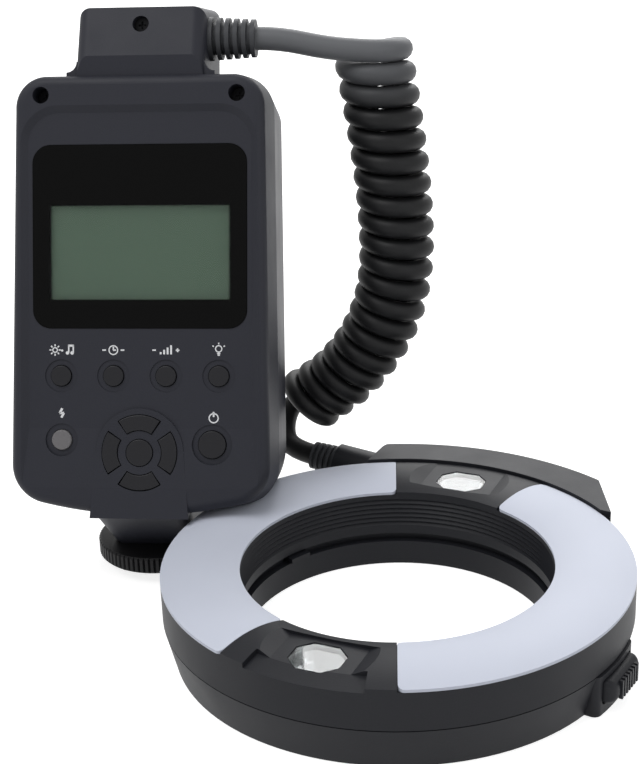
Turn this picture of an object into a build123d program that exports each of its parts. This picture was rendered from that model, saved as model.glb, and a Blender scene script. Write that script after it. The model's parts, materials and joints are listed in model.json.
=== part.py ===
from build123d import *
import os
from math import asin, cos, degrees, pi, radians, sin, tan

# Macro ring flash: a tilted controller on a shoe foot, a curly cord and a ring head.
# Millimetres and degrees. The origin is the lens bore's axis on the ring's back face, +Z up.

# Ring head: its width and heights build up from the lens bore
bore_r = 37.1
bore_length = 6.4
latch_groove = 2.2
ring_width = 19.3
ring_outer_r = bore_r + ring_width
foot_taper = 2.4
ring_foot_r = ring_outer_r - foot_taper
ring_wall = 2.0
ring_floor = 2.0
board_t = 1.6
ring_board_z = bore_length + latch_groove
board_top = ring_board_z + board_t
seam_z = board_top
seam_gap = 0.25
channel_height = 8.0
channel_clear = 0.4
roof_z = board_top + channel_height + channel_clear
rim_rise = 1.1
diffuser_seat_z = roof_z + rim_rise
diffuser_side = 0.7
front_edge_z = diffuser_seat_z + diffuser_side
crown_rise = 1.6
crown_z = front_edge_z + crown_rise
baffle_step = 0.4
baffle_r = bore_r + baffle_step
baffle_wall = 1.3
baffle_depth = 0.5
baffle_pitch = 1.25
baffle_start = 1.4
baffle_first_z = seam_z + baffle_start
baffle_count = 6
collar_gap = 0.2
collar_wall = 1.4
twelve_deg = 71.5
saddle_half_deg = 21.3
running_gap = 0.3

# Diffusers, flash tubes and their reflectors
diffuser_wall = 1.5
diffuser_corner_r = 1.5
diffuser_end_gap_deg = 0.15
tube_path_r = bore_r + ring_width / 2
tube_r = 2.1
tube_end_deg = 27.5
tube_cap_wall = 0.9
tube_cap_r = tube_r + tube_cap_wall
tube_cap_deg = 4.0
channel_side = 4.05
channel_half_w = ring_width / 2 - channel_side
channel_wall = 0.6
channel_flare = 0.8
channel_end_deg = 24.5

# Focusing lamps
lamp_r = tube_path_r
lamp_floor_drop = 1.5
lamp_half_w = 6.1
lamp_half_h = 5.4
lamp_corner = 3.0
lamp_window_sink = 0.2
lamp_window_gap = 0.15
lamp_cup_wall = 0.7
lamp_cup_ledge = 0.8
lamp_cup_low_share = 0.5
bulb_r = 1.5
bulb_length = 5.0
pocket_rim = 3.3
pocket_half_w = lamp_half_w + pocket_rim
pocket_slope = 3.6
pocket_lip = 2.3
pocket_inner_r = baffle_r + pocket_lip
pocket_slant_w = 4.9
pocket_slant_r = ring_outer_r - pocket_slant_w
pocket_slant_drop = 1.9
pocket_slant_half_deg = 14.5

# Ring board and the screws that close the ring head
board_inner_w = 3.75
board_outer_w = 4.85
ring_board_inner_r = tube_path_r - board_inner_w
ring_board_outer_r = tube_path_r + board_outer_w
post_r = 1.9
post_shift = 2.45
post_path_r = tube_path_r + post_shift
post_offset_deg = 16.0
screw_gap = 0.1
ring_screw_shank_r = 0.9
ring_screw_head_r = 1.6
ring_screw_head_t = 1.0
ring_screw_bite = 2.3
ring_screw_length = board_top + ring_screw_bite

# Hood over the wiring, in a plan with t towards twelve o'clock and s to its right
hood_width = 13.4
hood_reach = ring_outer_r + hood_width
hood_left_s = 27.5
hood_lean = 5.0
hood_right_s = hood_left_s + hood_lean
hood_tail_w = 9.0
hood_tail_s = hood_right_s + hood_tail_w
hood_tail_drop = 15.4
hood_tail_t = ring_outer_r - hood_tail_drop
hood_root_drop = 10.4
hood_root_t = ring_outer_r - hood_root_drop
hood_corner_r = 6.5
hood_lip = 0.6
hood_rim_r = ring_outer_r + hood_lip
hood_rise = 0.9
hood_top_z = front_edge_z + hood_rise
hood_slope_deg = 3.0
hood_edge_r = 2.6
hood_floor_z = 1.2
hood_fit = 0.15
wire_slot_half = 8.0
wire_slot_z = 4.5

# Cable boss and strain relief on the ring head
boss_inset = 6.4
boss_t = hood_reach - boss_inset
boss_start_z = 9.9
boss_rise = 2.5
boss_end_z = boss_start_z + boss_rise
boss_taper = 0.5
boss_end_r = 5.2
boss_r = boss_end_r + boss_taper
boss_root = 2.5
boss_start_s = boss_root - hood_left_s
boss_length = 15.2
boss_end_s = -hood_left_s - boss_length
boss_wall = 1.6
ring_relief_r = 4.4
ring_relief_end_r = 3.9
ring_relief_core_r = 3.3
ring_relief_length = 7.3
ring_relief_discs = 5

# Release levers: a ribbed push button, an arm round the bore and a hook over the bore's lip
lever_deg = -27.0
lever_travel = 1.6
lever_proud = 3.0
lever_face_r = ring_outer_r + lever_proud
lever_half_w = 7.6
lever_low_z = 2.6
lever_board_gap = 0.2
lever_height = ring_board_z - lever_board_gap - lever_low_z
lever_depth = 9.2
lever_corner_r = 1.2
lever_end_r = 2.4
lever_rib_count = 7
lever_rib_w = 0.7
lever_rib_pitch = 1.4
lever_rib_h = 0.45
arm_height = 1.8
arm_width = 2.4
arm_gap = 0.4
hook_deg = 163.0
hook_half_w = 3.0
hook_height = 1.2
hook_bite = 0.9
stem_w = 3.6
stem_inset = 0.4
stem_high_y = lever_half_w - stem_inset
stem_low_y = stem_high_y - stem_w
spring_r = 1.5
spring_hole_r = 0.9
spring_pocket_gap = 0.3
spring_pocket_r = spring_r + spring_pocket_gap
spring_y = -5.0
spring_post_t = 1.0
spring_pocket_depth = 4.4
lever_boss_proud = 0.6
lever_boss_r = ring_outer_r + lever_boss_proud
lever_boss_rim = 2.2
lever_boss_corner_r = 1.8
lever_boss_half_w = lever_half_w + lever_boss_rim

# Controller placing: its foot's axis, and the panel leaning back over it
foot_x = -65.5
foot_y = 39.5
panel_reach = 22.4
panel_lift = 3.0
panel_base_z = crown_z + panel_lift
lean_deg = 20.0

# Electronics behind the panel, in the panel's own frame: x across, y back from the bezel, z up
recess_depth = 1.2
panel_wall = 1.8
display_t = 3.8
main_board_y = recess_depth + panel_wall + display_t
capacitor_r = 10.5
capacitor_length = 38.0
capacitor_low_z = 36.0
capacitor_side = 1.5
transformer_w = 16.0
transformer_h = 14.0
transformer_t = 10.0
transformer_x = 16.0
transformer_clear = 5.0
transformer_z = capacitor_low_z + capacitor_length + transformer_clear + transformer_h / 2
seat_gap = 0.3

# Battery bay on the left of the case, its cells two deep and two wide
case_wall = 2.0
cell_r = 7.15
cell_length = 50.0
cell_tip_r = 2.7
cell_tip = 1.0
cell_gap = 0.3
cells_deep = 2
bay_low_z = 22.0
bay_gap = 0.8
tray_wall = 1.0
contact_t = 0.6
contact_r = 4.5
bay_depth = 2 * tray_wall + cells_deep * (2 * cell_r + cell_gap) + 2 * cell_gap

# Buttons
button_travel = 0.5
button_gap = 0.15
button_proud = 0.4
button_dish = 0.3
button_edge_r = 0.3
flange_t = 0.8
flange_lip = 0.8
flange_gap = 0.05
dome_gap = 0.1
dome_r_share = 0.6
key_r = 2.6
dish_rim = 1.55
key_dish_r = key_r + dish_rim
key_pitch = 13.4
pad_z = 13.9
key_row_rise = 19.3
key_row_z = pad_z + key_row_rise
power_x = 18.4
power_rise = 2.1
power_z = pad_z + power_rise
power_r = 3.5
power_rim = 1.6
power_dish_r = power_r + power_rim
pilot_x = -20.0
pilot_rise = 3.1
pilot_z = pad_z + pilot_rise
pilot_r = 2.55
pad_raise = 0.6
pad_centre_r = 3.4
arrow_gap = 2.1
arrow_inner_r = pad_centre_r + arrow_gap
arrow_w = 4.2
arrow_outer_r = arrow_inner_r + arrow_w
arrow_half_deg = 35.0
arrow_lip = 0.5
pad_rim = 1.5
pad_r = arrow_outer_r + pad_rim
tongue_flare = 1.4
tongue_low_half_w = pad_r + tongue_flare
tongue_low_y = -0.5

# Panel recess, glass and display
glass_half_w = 27.2
glass_rise = 12.0
glass_low_z = key_row_z + glass_rise
glass_height = 46.0
glass_top_z = glass_low_z + glass_height
glass_corner_r = 4.6
glass_t = 1.2
glass_proud = 0.2
glass_gap = 0.1
display_side = 4.3
display_half_w = glass_half_w - display_side
display_height = 23.8
display_rise = 7.1
display_low_z = glass_low_z + display_rise
display_top_z = display_low_z + display_height
display_border = 2.4
display_gap = 0.3
recess_side = 1.2
recess_half_w = glass_half_w + recess_side
recess_head = 8.0
recess_top_z = glass_top_z + recess_head
recess_corner_r = 8.0
recess_slope = 1.8
recess_ramp_z = 20.0
recess_end_z = 5.0
main_board_half_w = 27.0
main_board_low_z = 5.0
main_board_drop = 1.2
main_board_top_z = recess_top_z - main_board_drop
mat_t = 0.8
mat_side = 1.0
mat_half_w = main_board_half_w - mat_side
mat_rise = 6.3
mat_top_z = key_row_z + mat_rise

# Controller case
case_depth = main_board_y + board_t + bay_gap + bay_depth + case_wall
parting_y = 12.0
parting_gap = 0.1
case_side = 4.2
case_top_half_w = recess_half_w + case_side
case_flare = 1.6
case_low_half_w = case_top_half_w + case_flare
case_low_z = -3.0
case_clear = 0.7
case_low_corner_z = 2.0
case_low_corner_r = 11.0
case_head = 10.4
case_shoulder_z = recess_top_z + case_head
case_top_corner_r = 9.0
front_draft = 1.3
back_draft = 1.8
front_edge_r = 2.4
back_edge_r = 2.0
capacitor_x = case_top_half_w - case_wall - capacitor_side - capacitor_r

# Cord hump on top of the case
hump_half_w = 16.3
hump_front_y = 2.8
hump_fold_y = 1.2
hump_top_y = 4.6
hump_base_drop = 6.6
hump_base_z = case_shoulder_z - hump_base_drop
hump_fold_rise = 3.8
hump_fold_z = case_shoulder_z + hump_fold_rise
hump_rise = 12.6
hump_top_z = hump_fold_z + hump_rise
hump_step = 13.0
hump_back_y = case_depth - hump_step
hump_back_rise = 4.0
hump_back_z = hump_top_z + hump_back_rise
hump_edge_r = 3.2
hump_root_r = 2.6

# Case screws
screw_inset = 7.8
screw_x = case_top_half_w - screw_inset
screw_drop = 6.0
screw_z = case_shoulder_z - screw_drop
hump_screw_drop = 4.4
hump_screw_z = hump_top_z - hump_screw_drop
screw_head_r = 2.0
screw_head_t = 1.6
screw_shank_r = 1.0
screw_sink = 7.5
screw_length = 12.0
screw_post_wall = 1.2
cross_share = 0.5

# Battery door
door_step = 1.5
door_front_y = parting_y + door_step
door_back_w = 10.0
door_back_y = case_depth - door_back_w
door_gap = 0.3
door_overlap = 1.5
knuckle_length = 9.0
knuckle_out = 1.0
hinge_pin_r = 0.8
knuckle_wall = 0.8
knuckle_r = hinge_pin_r + knuckle_wall
hinge_gap = 0.05
door_rib_count = 4
door_rib_pitch = 2.6
door_rib_share = 0.35
door_rib_h = 0.5

# Neck, shoe foot, locking ring and pins
neck_top_half_w = 12.6
neck_low_half_w = 11.0
neck_corner_r = 4.0
neck_top_front = 22.6
neck_top_back = 13.0
neck_low_front = 8.0
neck_low_back = 10.0
shoe_width = 18.6
shoe_length = 18.0
shoe_t = 2.0
shoe_corner_r = 1.5
shoe_recess = 0.4
shoe_recess_r = 5.6
lock_ring_r = 16.3
lock_shoe_gap = 0.9
lock_low_z = shoe_t + lock_shoe_gap
lock_height = 4.4
lock_gap = 0.3
lock_tooth_count = 72
lock_tooth_depth = 0.55
lock_tooth_share = 0.5
lock_bevel = 0.5
pillar_r = 6.2
pillar_gap = 0.08
pin_r = 0.8
pin_gap = 0.06
pin_rise = 2.2
pin_length = shoe_t + pin_rise
pin_head_lip = 0.4
pin_head_r = pin_r + pin_head_lip
pin_head_t = 0.7
pin_travel = 0.4
pin_x = 3.2
pin_front_y = -3.2
pin_back_y = 1.6
lock_pin_r = 0.9
lock_pin_y = 4.6
lock_pin_length = 5.4
lock_pin_travel = 1.5

# Cord and the controller's strain relief
lead_d = 5.6
coil_wire_d = 4.6
coil_mean_r = 7.5
coil_inner_gap = 0.5
coil_start_deg = -90.0
coil_end_deg = 0.0
coil_turns = 19
relief_rise = 5.6
relief_z = hump_fold_z + relief_rise
relief_end_r = 4.8
relief_taper = 0.7
relief_r = relief_end_r + relief_taper
relief_core_r = 4.0
relief_length = 11.8
relief_discs = 6
relief_neck_r = 3.3
relief_flange_t = 1.0
relief_disc_share = 0.5

# The coil's axis from top to bottom, and the free leads between coil and strain reliefs
coil_axis = [
    (-8.4, 76.0, 129.2), (-6.8, 76.0, 118.5), (-5.0, 76.0, 106.0), (-3.6, 76.0, 94.0),
    (-2.8, 76.0, 81.5), (-2.9, 76.0, 70.0), (-4.7, 76.0, 59.6), (-8.6, 76.0, 50.0),
    (-14.4, 76.0, 41.6), (-21.2, 76.0, 35.0), (-28.6, 76.0, 30.4),
]
upper_lead_run = 6.0
lower_lead_run = 6.5
lower_lead_middle = [
    (-29.6, 92.0, 25.0), (-36.0, 92.2, 27.0), (-40.2, 87.0, 26.4), (-39.6, 82.2, 20.6),
]
stub_share = 1.05
step_share = 0.25
run_share = 0.45

# Shared overrun for cuts, and a length past the whole part
overrun = 3.0
beyond = 300.0

written = []


def save(shape, node):
    """Write one node."""
    export_step(shape, f"parts/{node}.step")
    written.append(node)


def turned(shape, angle):
    """Turn a shape about the bore's axis."""
    return Rot(0, 0, angle) * shape


def disc(radius, low, high, hole=0):
    """An upright disc or tube on the bore's axis between two heights."""
    middle = Pos(0, 0, (low + high) / 2)
    shape = middle * Cylinder(radius, high - low)
    if hole:
        shape -= middle * Cylinder(hole, high - low + overrun)
    return shape


def block(low, high):
    """A box from its lowest corner to its highest."""
    size = [high[i] - low[i] for i in range(len(low))]
    centre = [(high[i] + low[i]) / 2 for i in range(len(low))]
    return Pos(*centre) * Box(*size)


def spun(points, arc=360.0):
    """A closed outline of (radius, height) points turned about the bore's axis."""
    return revolve(Plane.XZ * make_face(Polyline(*points, close=True)), Axis.Z, arc)


def wedge(half_deg, low, high):
    """A slice of space centred on +X, half_deg to each side."""
    reach = beyond / cos(radians(half_deg))
    side = (reach * cos(radians(half_deg)), reach * sin(radians(half_deg)))
    face = make_face(Polyline((0, 0), side, (side[0], -side[1]), close=True))
    return Pos(0, 0, low) * extrude(face, high - low)


def plan(s, t, z):
    """A place on the ring, s to the right of and t towards twelve o'clock."""
    twelve = radians(twelve_deg)
    return (t * cos(twelve) + s * sin(twelve), t * sin(twelve) - s * cos(twelve), z)


# Ring head

seam_low = seam_z - seam_gap / 2
seam_high = seam_z + seam_gap / 2
inner_wall_r = baffle_r + baffle_wall
collar_r = inner_wall_r + collar_gap
collar_outer_r = collar_r + collar_wall
cavity_r = ring_outer_r - ring_wall
lamp_floor_z = crown_z - lamp_floor_drop
post_angles = [twelve_deg + half + side * post_offset_deg for half in (0, 180) for side in (-1, 1)]


def hood_outline(inset):
    """The hood's plan with twelve o'clock along +X, its edge brought in by inset."""
    reach = hood_reach - inset
    left = hood_left_s - inset
    right = hood_right_s - inset
    left_top = (reach**2 - left**2) ** 0.5
    right_top = (reach**2 - right**2) ** 0.5
    tail = (hood_tail_t, -(hood_tail_s - inset))
    rim = [
        Line((hood_root_t, left), (left_top, left)),
        ThreePointArc((left_top, left), (reach, 0), (right_top, -right)),
        Line((right_top, -right), tail),
        Line(tail, (hood_root_t, left)),
    ]
    face = make_face(rim)
    return fillet(face.vertices().filter_by(lambda v: v.X > hood_root_t + overrun), hood_corner_r)


def hood_body(inset, low, high):
    """The hood between two heights, its top sloping down from the rim to a rounded outer edge."""
    body = Pos(0, 0, low) * extrude(hood_outline(inset), high - low)
    reach = hood_reach - inset
    start = reach - hood_edge_r
    edge = high - (start - hood_rim_r) * tan(radians(hood_slope_deg))
    middle = (start + hood_edge_r * sin(radians(45)), edge - hood_edge_r * (1 - cos(radians(45))))
    rim = [
        Line((0, low), (0, high)),
        Line((0, high), (hood_rim_r, high)),
        Line((hood_rim_r, high), (start, edge)),
        ThreePointArc((start, edge), middle, (reach, edge - hood_edge_r)),
        Line((reach, edge - hood_edge_r), (reach, low)),
        Line((reach, low), (0, low)),
    ]
    return turned(body & revolve(Plane.XZ * make_face(rim), Axis.Z), twelve_deg)


def along_boss(s):
    """The frame on the cable boss's axis at s, its +Z pointing out along the cord."""
    start = Vector(*plan(boss_start_s, boss_t, boss_start_z))
    out = Vector(*plan(boss_end_s, boss_t, boss_end_z)) - start
    share = (boss_start_s - s) / (boss_start_s - boss_end_s)
    return Plane(origin=start + out * share, z_dir=out)


def boss_part(start_s, end_s, start_r, end_r):
    """A round cone along the cable boss."""
    length = (along_boss(end_s).origin - along_boss(start_s).origin).length
    return along_boss(start_s) * spun([(0, 0), (start_r, 0), (end_r, length), (0, length)])


def boss_hollow():
    """The boss's bore, wide for the relief's flange and narrow at its mouth."""
    inner = boss_end_r - boss_wall
    wall_s = boss_end_s + boss_wall
    hole = ring_relief_core_r - boss_wall / 2
    return (boss_part(boss_start_s + overrun, wall_s, inner, inner)
            + boss_part(boss_start_s, boss_end_s - overrun, hole, hole))


def relief(length, discs, big_r, end_r, core_r, neck_r, wall, flange_r):
    """A ribbed strain relief along +Z: flange and neck inside the wall, discs outside."""
    pitch = length / (discs - relief_disc_share)
    thick = pitch * relief_disc_share
    body = Pos(0, 0, length / 2) * Cylinder(core_r, length)
    for i in range(discs):
        radius = big_r + (end_r - big_r) * i / (discs - 1)
        body += Pos(0, 0, i * pitch + thick / 2) * Cylinder(radius, thick)
    body += Pos(0, 0, -wall / 2) * Cylinder(neck_r, wall)
    return body + Pos(0, 0, -wall - relief_flange_t / 2) * Cylinder(flange_r, relief_flange_t)


def lever_frames():
    """The frames of the right and left release levers, +X outwards along each push."""
    return [Rot(0, 0, lever_deg), Rot(0, 0, lever_deg + 180)]


def push_block(grow, start, end):
    """The lever's rounded push button along its push, or its slot where grow is a gap."""
    face = Rectangle(2 * (lever_half_w + grow), lever_height + 2 * grow)
    face = fillet(face.vertices(), lever_corner_r)
    return Pos(start, 0, lever_low_z + lever_height / 2) * extrude(Plane.YZ * face, end - start)


def spring_bore(radius, start, end):
    """A round bar along the lever's push, on its spring's axis."""
    centre = Pos((start + end) / 2, spring_y, lever_low_z + lever_height / 2)
    return centre * Rot(0, 90, 0) * Cylinder(radius, end - start)


button_start = lever_face_r - lever_depth
spring_start = button_start - lever_travel - seat_gap
hook_low_z = bore_length + running_gap


def ring_rear_shell():
    """The back tray: lens bore and latch groove, lever openings, and the hood's lower half."""
    slope_r = ring_foot_r + (ring_outer_r - ring_foot_r) * seam_low / seam_z
    body = spun([(bore_r, 0), (ring_foot_r, 0), (slope_r, seam_low), (bore_r, seam_low)])
    for frame in lever_frames():
        bulge = block((0, -lever_boss_half_w, 0), (lever_boss_r, lever_boss_half_w, seam_low))
        bulge &= disc(lever_boss_r, 0, seam_low)
        body += frame * fillet(bulge.edges().filter_by(Axis.Z).sort_by(Axis.X)[-2:], lever_boss_corner_r)
    body -= disc(bore_r + overrun, -overrun, seam_z) & disc(bore_r, -overrun, seam_z)
    body -= disc(ring_foot_r - ring_wall, ring_floor, seam_z, collar_outer_r)
    tray = hood_body(0, hood_floor_z, beyond) & disc(beyond, hood_floor_z, seam_low, ring_foot_r)
    tray += boss_part(boss_start_s, boss_end_s, boss_r, boss_end_r) & disc(beyond, 0, seam_low)
    tray -= hood_body(ring_wall, hood_floor_z + ring_floor, beyond) - disc(ring_outer_r, 0, beyond)
    body += tray
    body -= boss_hollow()
    body -= disc(collar_r, bore_length, seam_z + overrun)
    slot = block((cavity_r - 2 * ring_wall, -wire_slot_half, wire_slot_z),
                 (ring_outer_r + ring_wall, wire_slot_half, seam_z))
    body -= turned(slot, twelve_deg)
    for frame in lever_frames():
        half = hook_half_w + running_gap + lever_travel * sin(radians(hook_deg))
        notch = block((bore_r - overrun, -half, bore_length),
                      (collar_outer_r + overrun, half, hook_low_z + hook_height + running_gap))
        body -= frame * (push_block(running_gap, button_start - overrun, beyond) + turned(notch, hook_deg))
        post_end = spring_start
        body += frame * block((post_end - spring_post_t, spring_y - spring_r, ring_floor),
                              (post_end, spring_y + spring_r, lever_low_z + lever_height))
    for angle in post_angles:
        spot = Rot(0, 0, angle) * Pos(post_path_r, 0, 0)
        body += spot * disc(post_r, ring_floor, ring_board_z)
        body -= spot * disc(ring_screw_shank_r + screw_gap, 0, ring_board_z)
        body -= spot * disc(ring_screw_head_r + screw_gap, -overrun, ring_screw_head_t + screw_gap)
    return body


def crown(low, inset):
    """The ring's front outline above a height: flat sides and a crowned top."""
    outer = ring_outer_r - inset
    inner = baffle_r + inset
    edge = front_edge_z - inset
    rim = [
        Line((inner, low), (outer, low)),
        Line((outer, low), (outer, edge)),
        ThreePointArc((outer, edge), (tube_path_r, crown_z - inset), (inner, edge)),
        Line((inner, edge), (inner, low)),
    ]
    return revolve(Plane.XZ * make_face(rim), Axis.Z)


def octagon(inset, share=1.0):
    """The lamp window's cut-cornered outline, long side across the ring."""
    w = (lamp_half_w - inset) * share
    h = (lamp_half_h - inset) * share
    c = lamp_corner * share
    points = [(h, w - c), (h - c, w), (c - h, w), (-h, w - c), (-h, c - w), (c - h, -w),
              (h - c, -w), (h, c - w)]
    return make_face(Polyline(*points, close=True))


def baffles():
    """The light baffles: fine grooves down the bore's front wall."""
    points = [(baffle_r - overrun, baffle_first_z - baffle_pitch / 2)]
    for i in range(baffle_count):
        low = baffle_first_z + (i - 1 / 2) * baffle_pitch
        points += [(baffle_r, low), (baffle_r + baffle_depth, low + baffle_pitch / 2)]
    top = baffle_first_z + (baffle_count - 1 / 2) * baffle_pitch
    return spun(points + [(baffle_r, top), (baffle_r - overrun, top)])


def ring_front_shell():
    """The front ring: outer wall, baffled inner wall, and a lamp saddle at each end."""
    body = disc(ring_outer_r, seam_high, diffuser_seat_z, cavity_r)
    body += disc(inner_wall_r, bore_length + latch_groove, diffuser_seat_z, baffle_r)
    saddle = crown(seam_high, 0) - disc(cavity_r, 0, roof_z, inner_wall_r)
    for half in (0, 180):
        body += saddle & turned(wedge(saddle_half_deg, 0, beyond), twelve_deg + half)
    body -= baffles()
    for half in (0, 180):
        low_w = pocket_half_w
        high_w = pocket_half_w + pocket_slope
        high_z = crown_z + overrun
        rise = (high_w - low_w) * overrun / lamp_floor_drop
        outline = [(-low_w, lamp_floor_z), (low_w, lamp_floor_z), (high_w + rise, high_z),
                   (-high_w - rise, high_z)]
        face = make_face(Polyline(*outline, close=True))
        pocket = Pos(pocket_inner_r, 0, 0) * extrude(Plane.YZ * face, beyond)
        slant = spun([(pocket_slant_r, lamp_floor_z), (pocket_slant_r, high_z),
                      (ring_outer_r + overrun, high_z),
                      (ring_outer_r + overrun, lamp_floor_z - pocket_slant_drop)])
        if half:
            pocket += slant & wedge(pocket_slant_half_deg, 0, beyond)
        window = Pos(lamp_r, 0, 0) * extrude(octagon(0), beyond)
        body -= turned(pocket + window, twelve_deg + half)
        for sign in (-1, 1):
            spot = Rot(0, 0, twelve_deg + half + sign * post_offset_deg) * Pos(post_path_r, 0, 0)
            body += spot * disc(post_r, board_top, roof_z)
            body -= spot * disc(ring_screw_shank_r + screw_gap, 0, ring_screw_length + screw_gap)
    return body


def hood_cover():
    """The hood's front half, with the upper half of the cable boss."""
    body = hood_body(0, seam_high, hood_top_z)
    body += boss_part(boss_start_s, boss_end_s, boss_r, boss_end_r) & disc(beyond, seam_high, beyond)
    inner = hood_body(ring_wall, seam_high - overrun, hood_top_z - ring_wall)
    body -= inner - disc(hood_rim_r + ring_wall, 0, beyond)
    body -= boss_hollow()
    return body - disc(ring_outer_r + hood_fit, 0, beyond)


def diffuser_plan(inset):
    """A diffuser's plan, centred on +X, brought in all round."""
    half = radians(90 - saddle_half_deg - diffuser_end_gap_deg)
    tip = inset / sin(half)
    side = (tip + beyond * cos(half), beyond * sin(half))
    cone = make_face(Polyline((tip, 0), side, (side[0] + beyond, 0), (side[0], -side[1]), close=True))
    face = (Circle(ring_outer_r - inset) - Circle(baffle_r + inset)) & cone
    return fillet(face.vertices(), diffuser_corner_r if inset == 0 else diffuser_corner_r / 2)


def diffuser():
    """One frosted diffuser, centred on +X, its walls standing on the ring's."""
    outside = crown(diffuser_seat_z, 0) & extrude(diffuser_plan(0), beyond)
    inside = crown(0, diffuser_wall) & extrude(diffuser_plan(diffuser_wall), beyond)
    return outside - inside


def flash_tube(half_deg, radius):
    """An arc of round tube in the channel, centred on +X."""
    section = Pos(tube_path_r, board_top + channel_wall + tube_cap_r) * Circle(radius)
    return turned(revolve(Plane.XZ * section, Axis.Z, 2 * half_deg), -half_deg)


def tube_caps():
    """The two rubber caps that hold a tube's ends on the channel's floor."""
    caps = flash_tube(90 - tube_end_deg, tube_cap_r) - flash_tube(90 - tube_end_deg, tube_r)
    return caps - wedge(90 - tube_end_deg - tube_cap_deg, 0, beyond)


def tube_channel():
    """The bright channel behind a tube, centred on +X."""
    low = board_top
    high = low + channel_height
    inner = tube_path_r - channel_half_w
    outer = tube_path_r + channel_half_w
    points = [
        (inner, high), (inner + channel_flare, low), (outer - channel_flare, low), (outer, high),
        (outer - channel_wall, high), (outer - channel_flare - channel_wall, low + channel_wall),
        (inner + channel_flare + channel_wall, low + channel_wall), (inner + channel_wall, high),
    ]
    return spun(points) & wedge(90 - channel_end_deg, 0, beyond)


def lamp_window():
    """The clear octagon over a lamp, resting on its reflector."""
    face = octagon(lamp_window_gap)
    height = lamp_floor_z - lamp_window_sink - roof_z
    return Pos(lamp_r, 0, roof_z) * extrude(face, height)


def lamp_cup():
    """The faceted reflector under a window, standing on the ring board."""
    top = Plane.XY.offset(roof_z)
    low = Plane.XY.offset(board_top)
    outside = loft([top * octagon(lamp_cup_ledge - lamp_cup_wall),
                    low * octagon(lamp_cup_ledge - lamp_cup_wall, lamp_cup_low_share)])
    inside = loft([top * octagon(lamp_cup_ledge),
                   low * octagon(lamp_cup_ledge + lamp_cup_wall, lamp_cup_low_share)])
    flange = Pos(0, 0, roof_z - lamp_cup_wall) * extrude(octagon(-lamp_cup_wall), lamp_cup_wall)
    return Pos(lamp_r, 0, 0) * (outside + flange - inside)


def focusing_lamp():
    """A small round-topped bulb standing on the ring board."""
    straight = bulb_length - bulb_r
    bulb = Pos(0, 0, straight / 2) * Cylinder(bulb_r, straight) + Pos(0, 0, straight) * Sphere(bulb_r)
    return Pos(lamp_r, 0, board_top) * bulb


def ring_board():
    """The board that carries the tubes and lamps, with holes for the screws."""
    body = disc(ring_board_outer_r, ring_board_z, board_top, ring_board_inner_r)
    for angle in post_angles:
        hole = disc(ring_screw_shank_r + screw_gap, 0, beyond)
        body -= Rot(0, 0, angle) * Pos(post_path_r, 0, 0) * hole
    return body


def screw(head_r, head_t, shank_r, length):
    """A pan screw along +Z with a cross recess, its head at the bottom."""
    body = disc(head_r, 0, head_t) + disc(shank_r, head_t, length)
    arm = head_r * cross_share
    slot = Box(2 * arm, arm / 2, head_t) + Box(arm / 2, 2 * arm, head_t)
    return body - slot


def release_lever(frame):
    """A push button with its ribs and spring pocket, an arm round the bore, and a hook."""
    arm_in = collar_outer_r + lever_travel + arm_gap
    arm_out = arm_in + arm_width
    top = lever_low_z + arm_height
    body = push_block(0, button_start, lever_face_r)
    ends = body.edges().filter_by(Axis.Z).sort_by(Axis.X)[-2:]
    body = fillet(ends, lever_end_r)
    for i in range(lever_rib_count):
        y = (i - (lever_rib_count - 1) / 2) * lever_rib_pitch
        body += block((lever_face_r - lever_rib_h, y - lever_rib_w / 2, lever_low_z + lever_corner_r / 2),
                      (lever_face_r + lever_rib_h, y + lever_rib_w / 2,
                       lever_low_z + lever_height - lever_corner_r / 2))
    body -= spring_bore(spring_pocket_r, button_start - overrun, button_start + spring_pocket_depth)
    arm = disc(arm_out, lever_low_z, top, arm_in) & block((-beyond, stem_low_y, 0), (beyond, beyond, beyond))
    body += arm & turned(block((-beyond, -beyond, 0), (beyond, hook_half_w, beyond)), hook_deg)
    body += block((arm_in, stem_low_y, lever_low_z), (button_start + lever_rib_h, stem_high_y, top)) - disc(
        arm_in, 0, beyond)
    high = hook_low_z + hook_height
    end = turned(block((0, -hook_half_w, lever_low_z), (beyond, hook_half_w, high)), hook_deg)
    body += end & disc(arm_out, lever_low_z, high, arm_in)
    body += end & disc(arm_out, hook_low_z, high, bore_r - hook_bite)
    return frame * body


def lever_spring(frame):
    """The lever's return spring, drawn at its pressed length against its post."""
    end = button_start + spring_pocket_depth - lever_travel - seat_gap
    body = spring_bore(spring_r, spring_start, end) - spring_bore(spring_hole_r, 0, beyond)
    return frame * body


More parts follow.
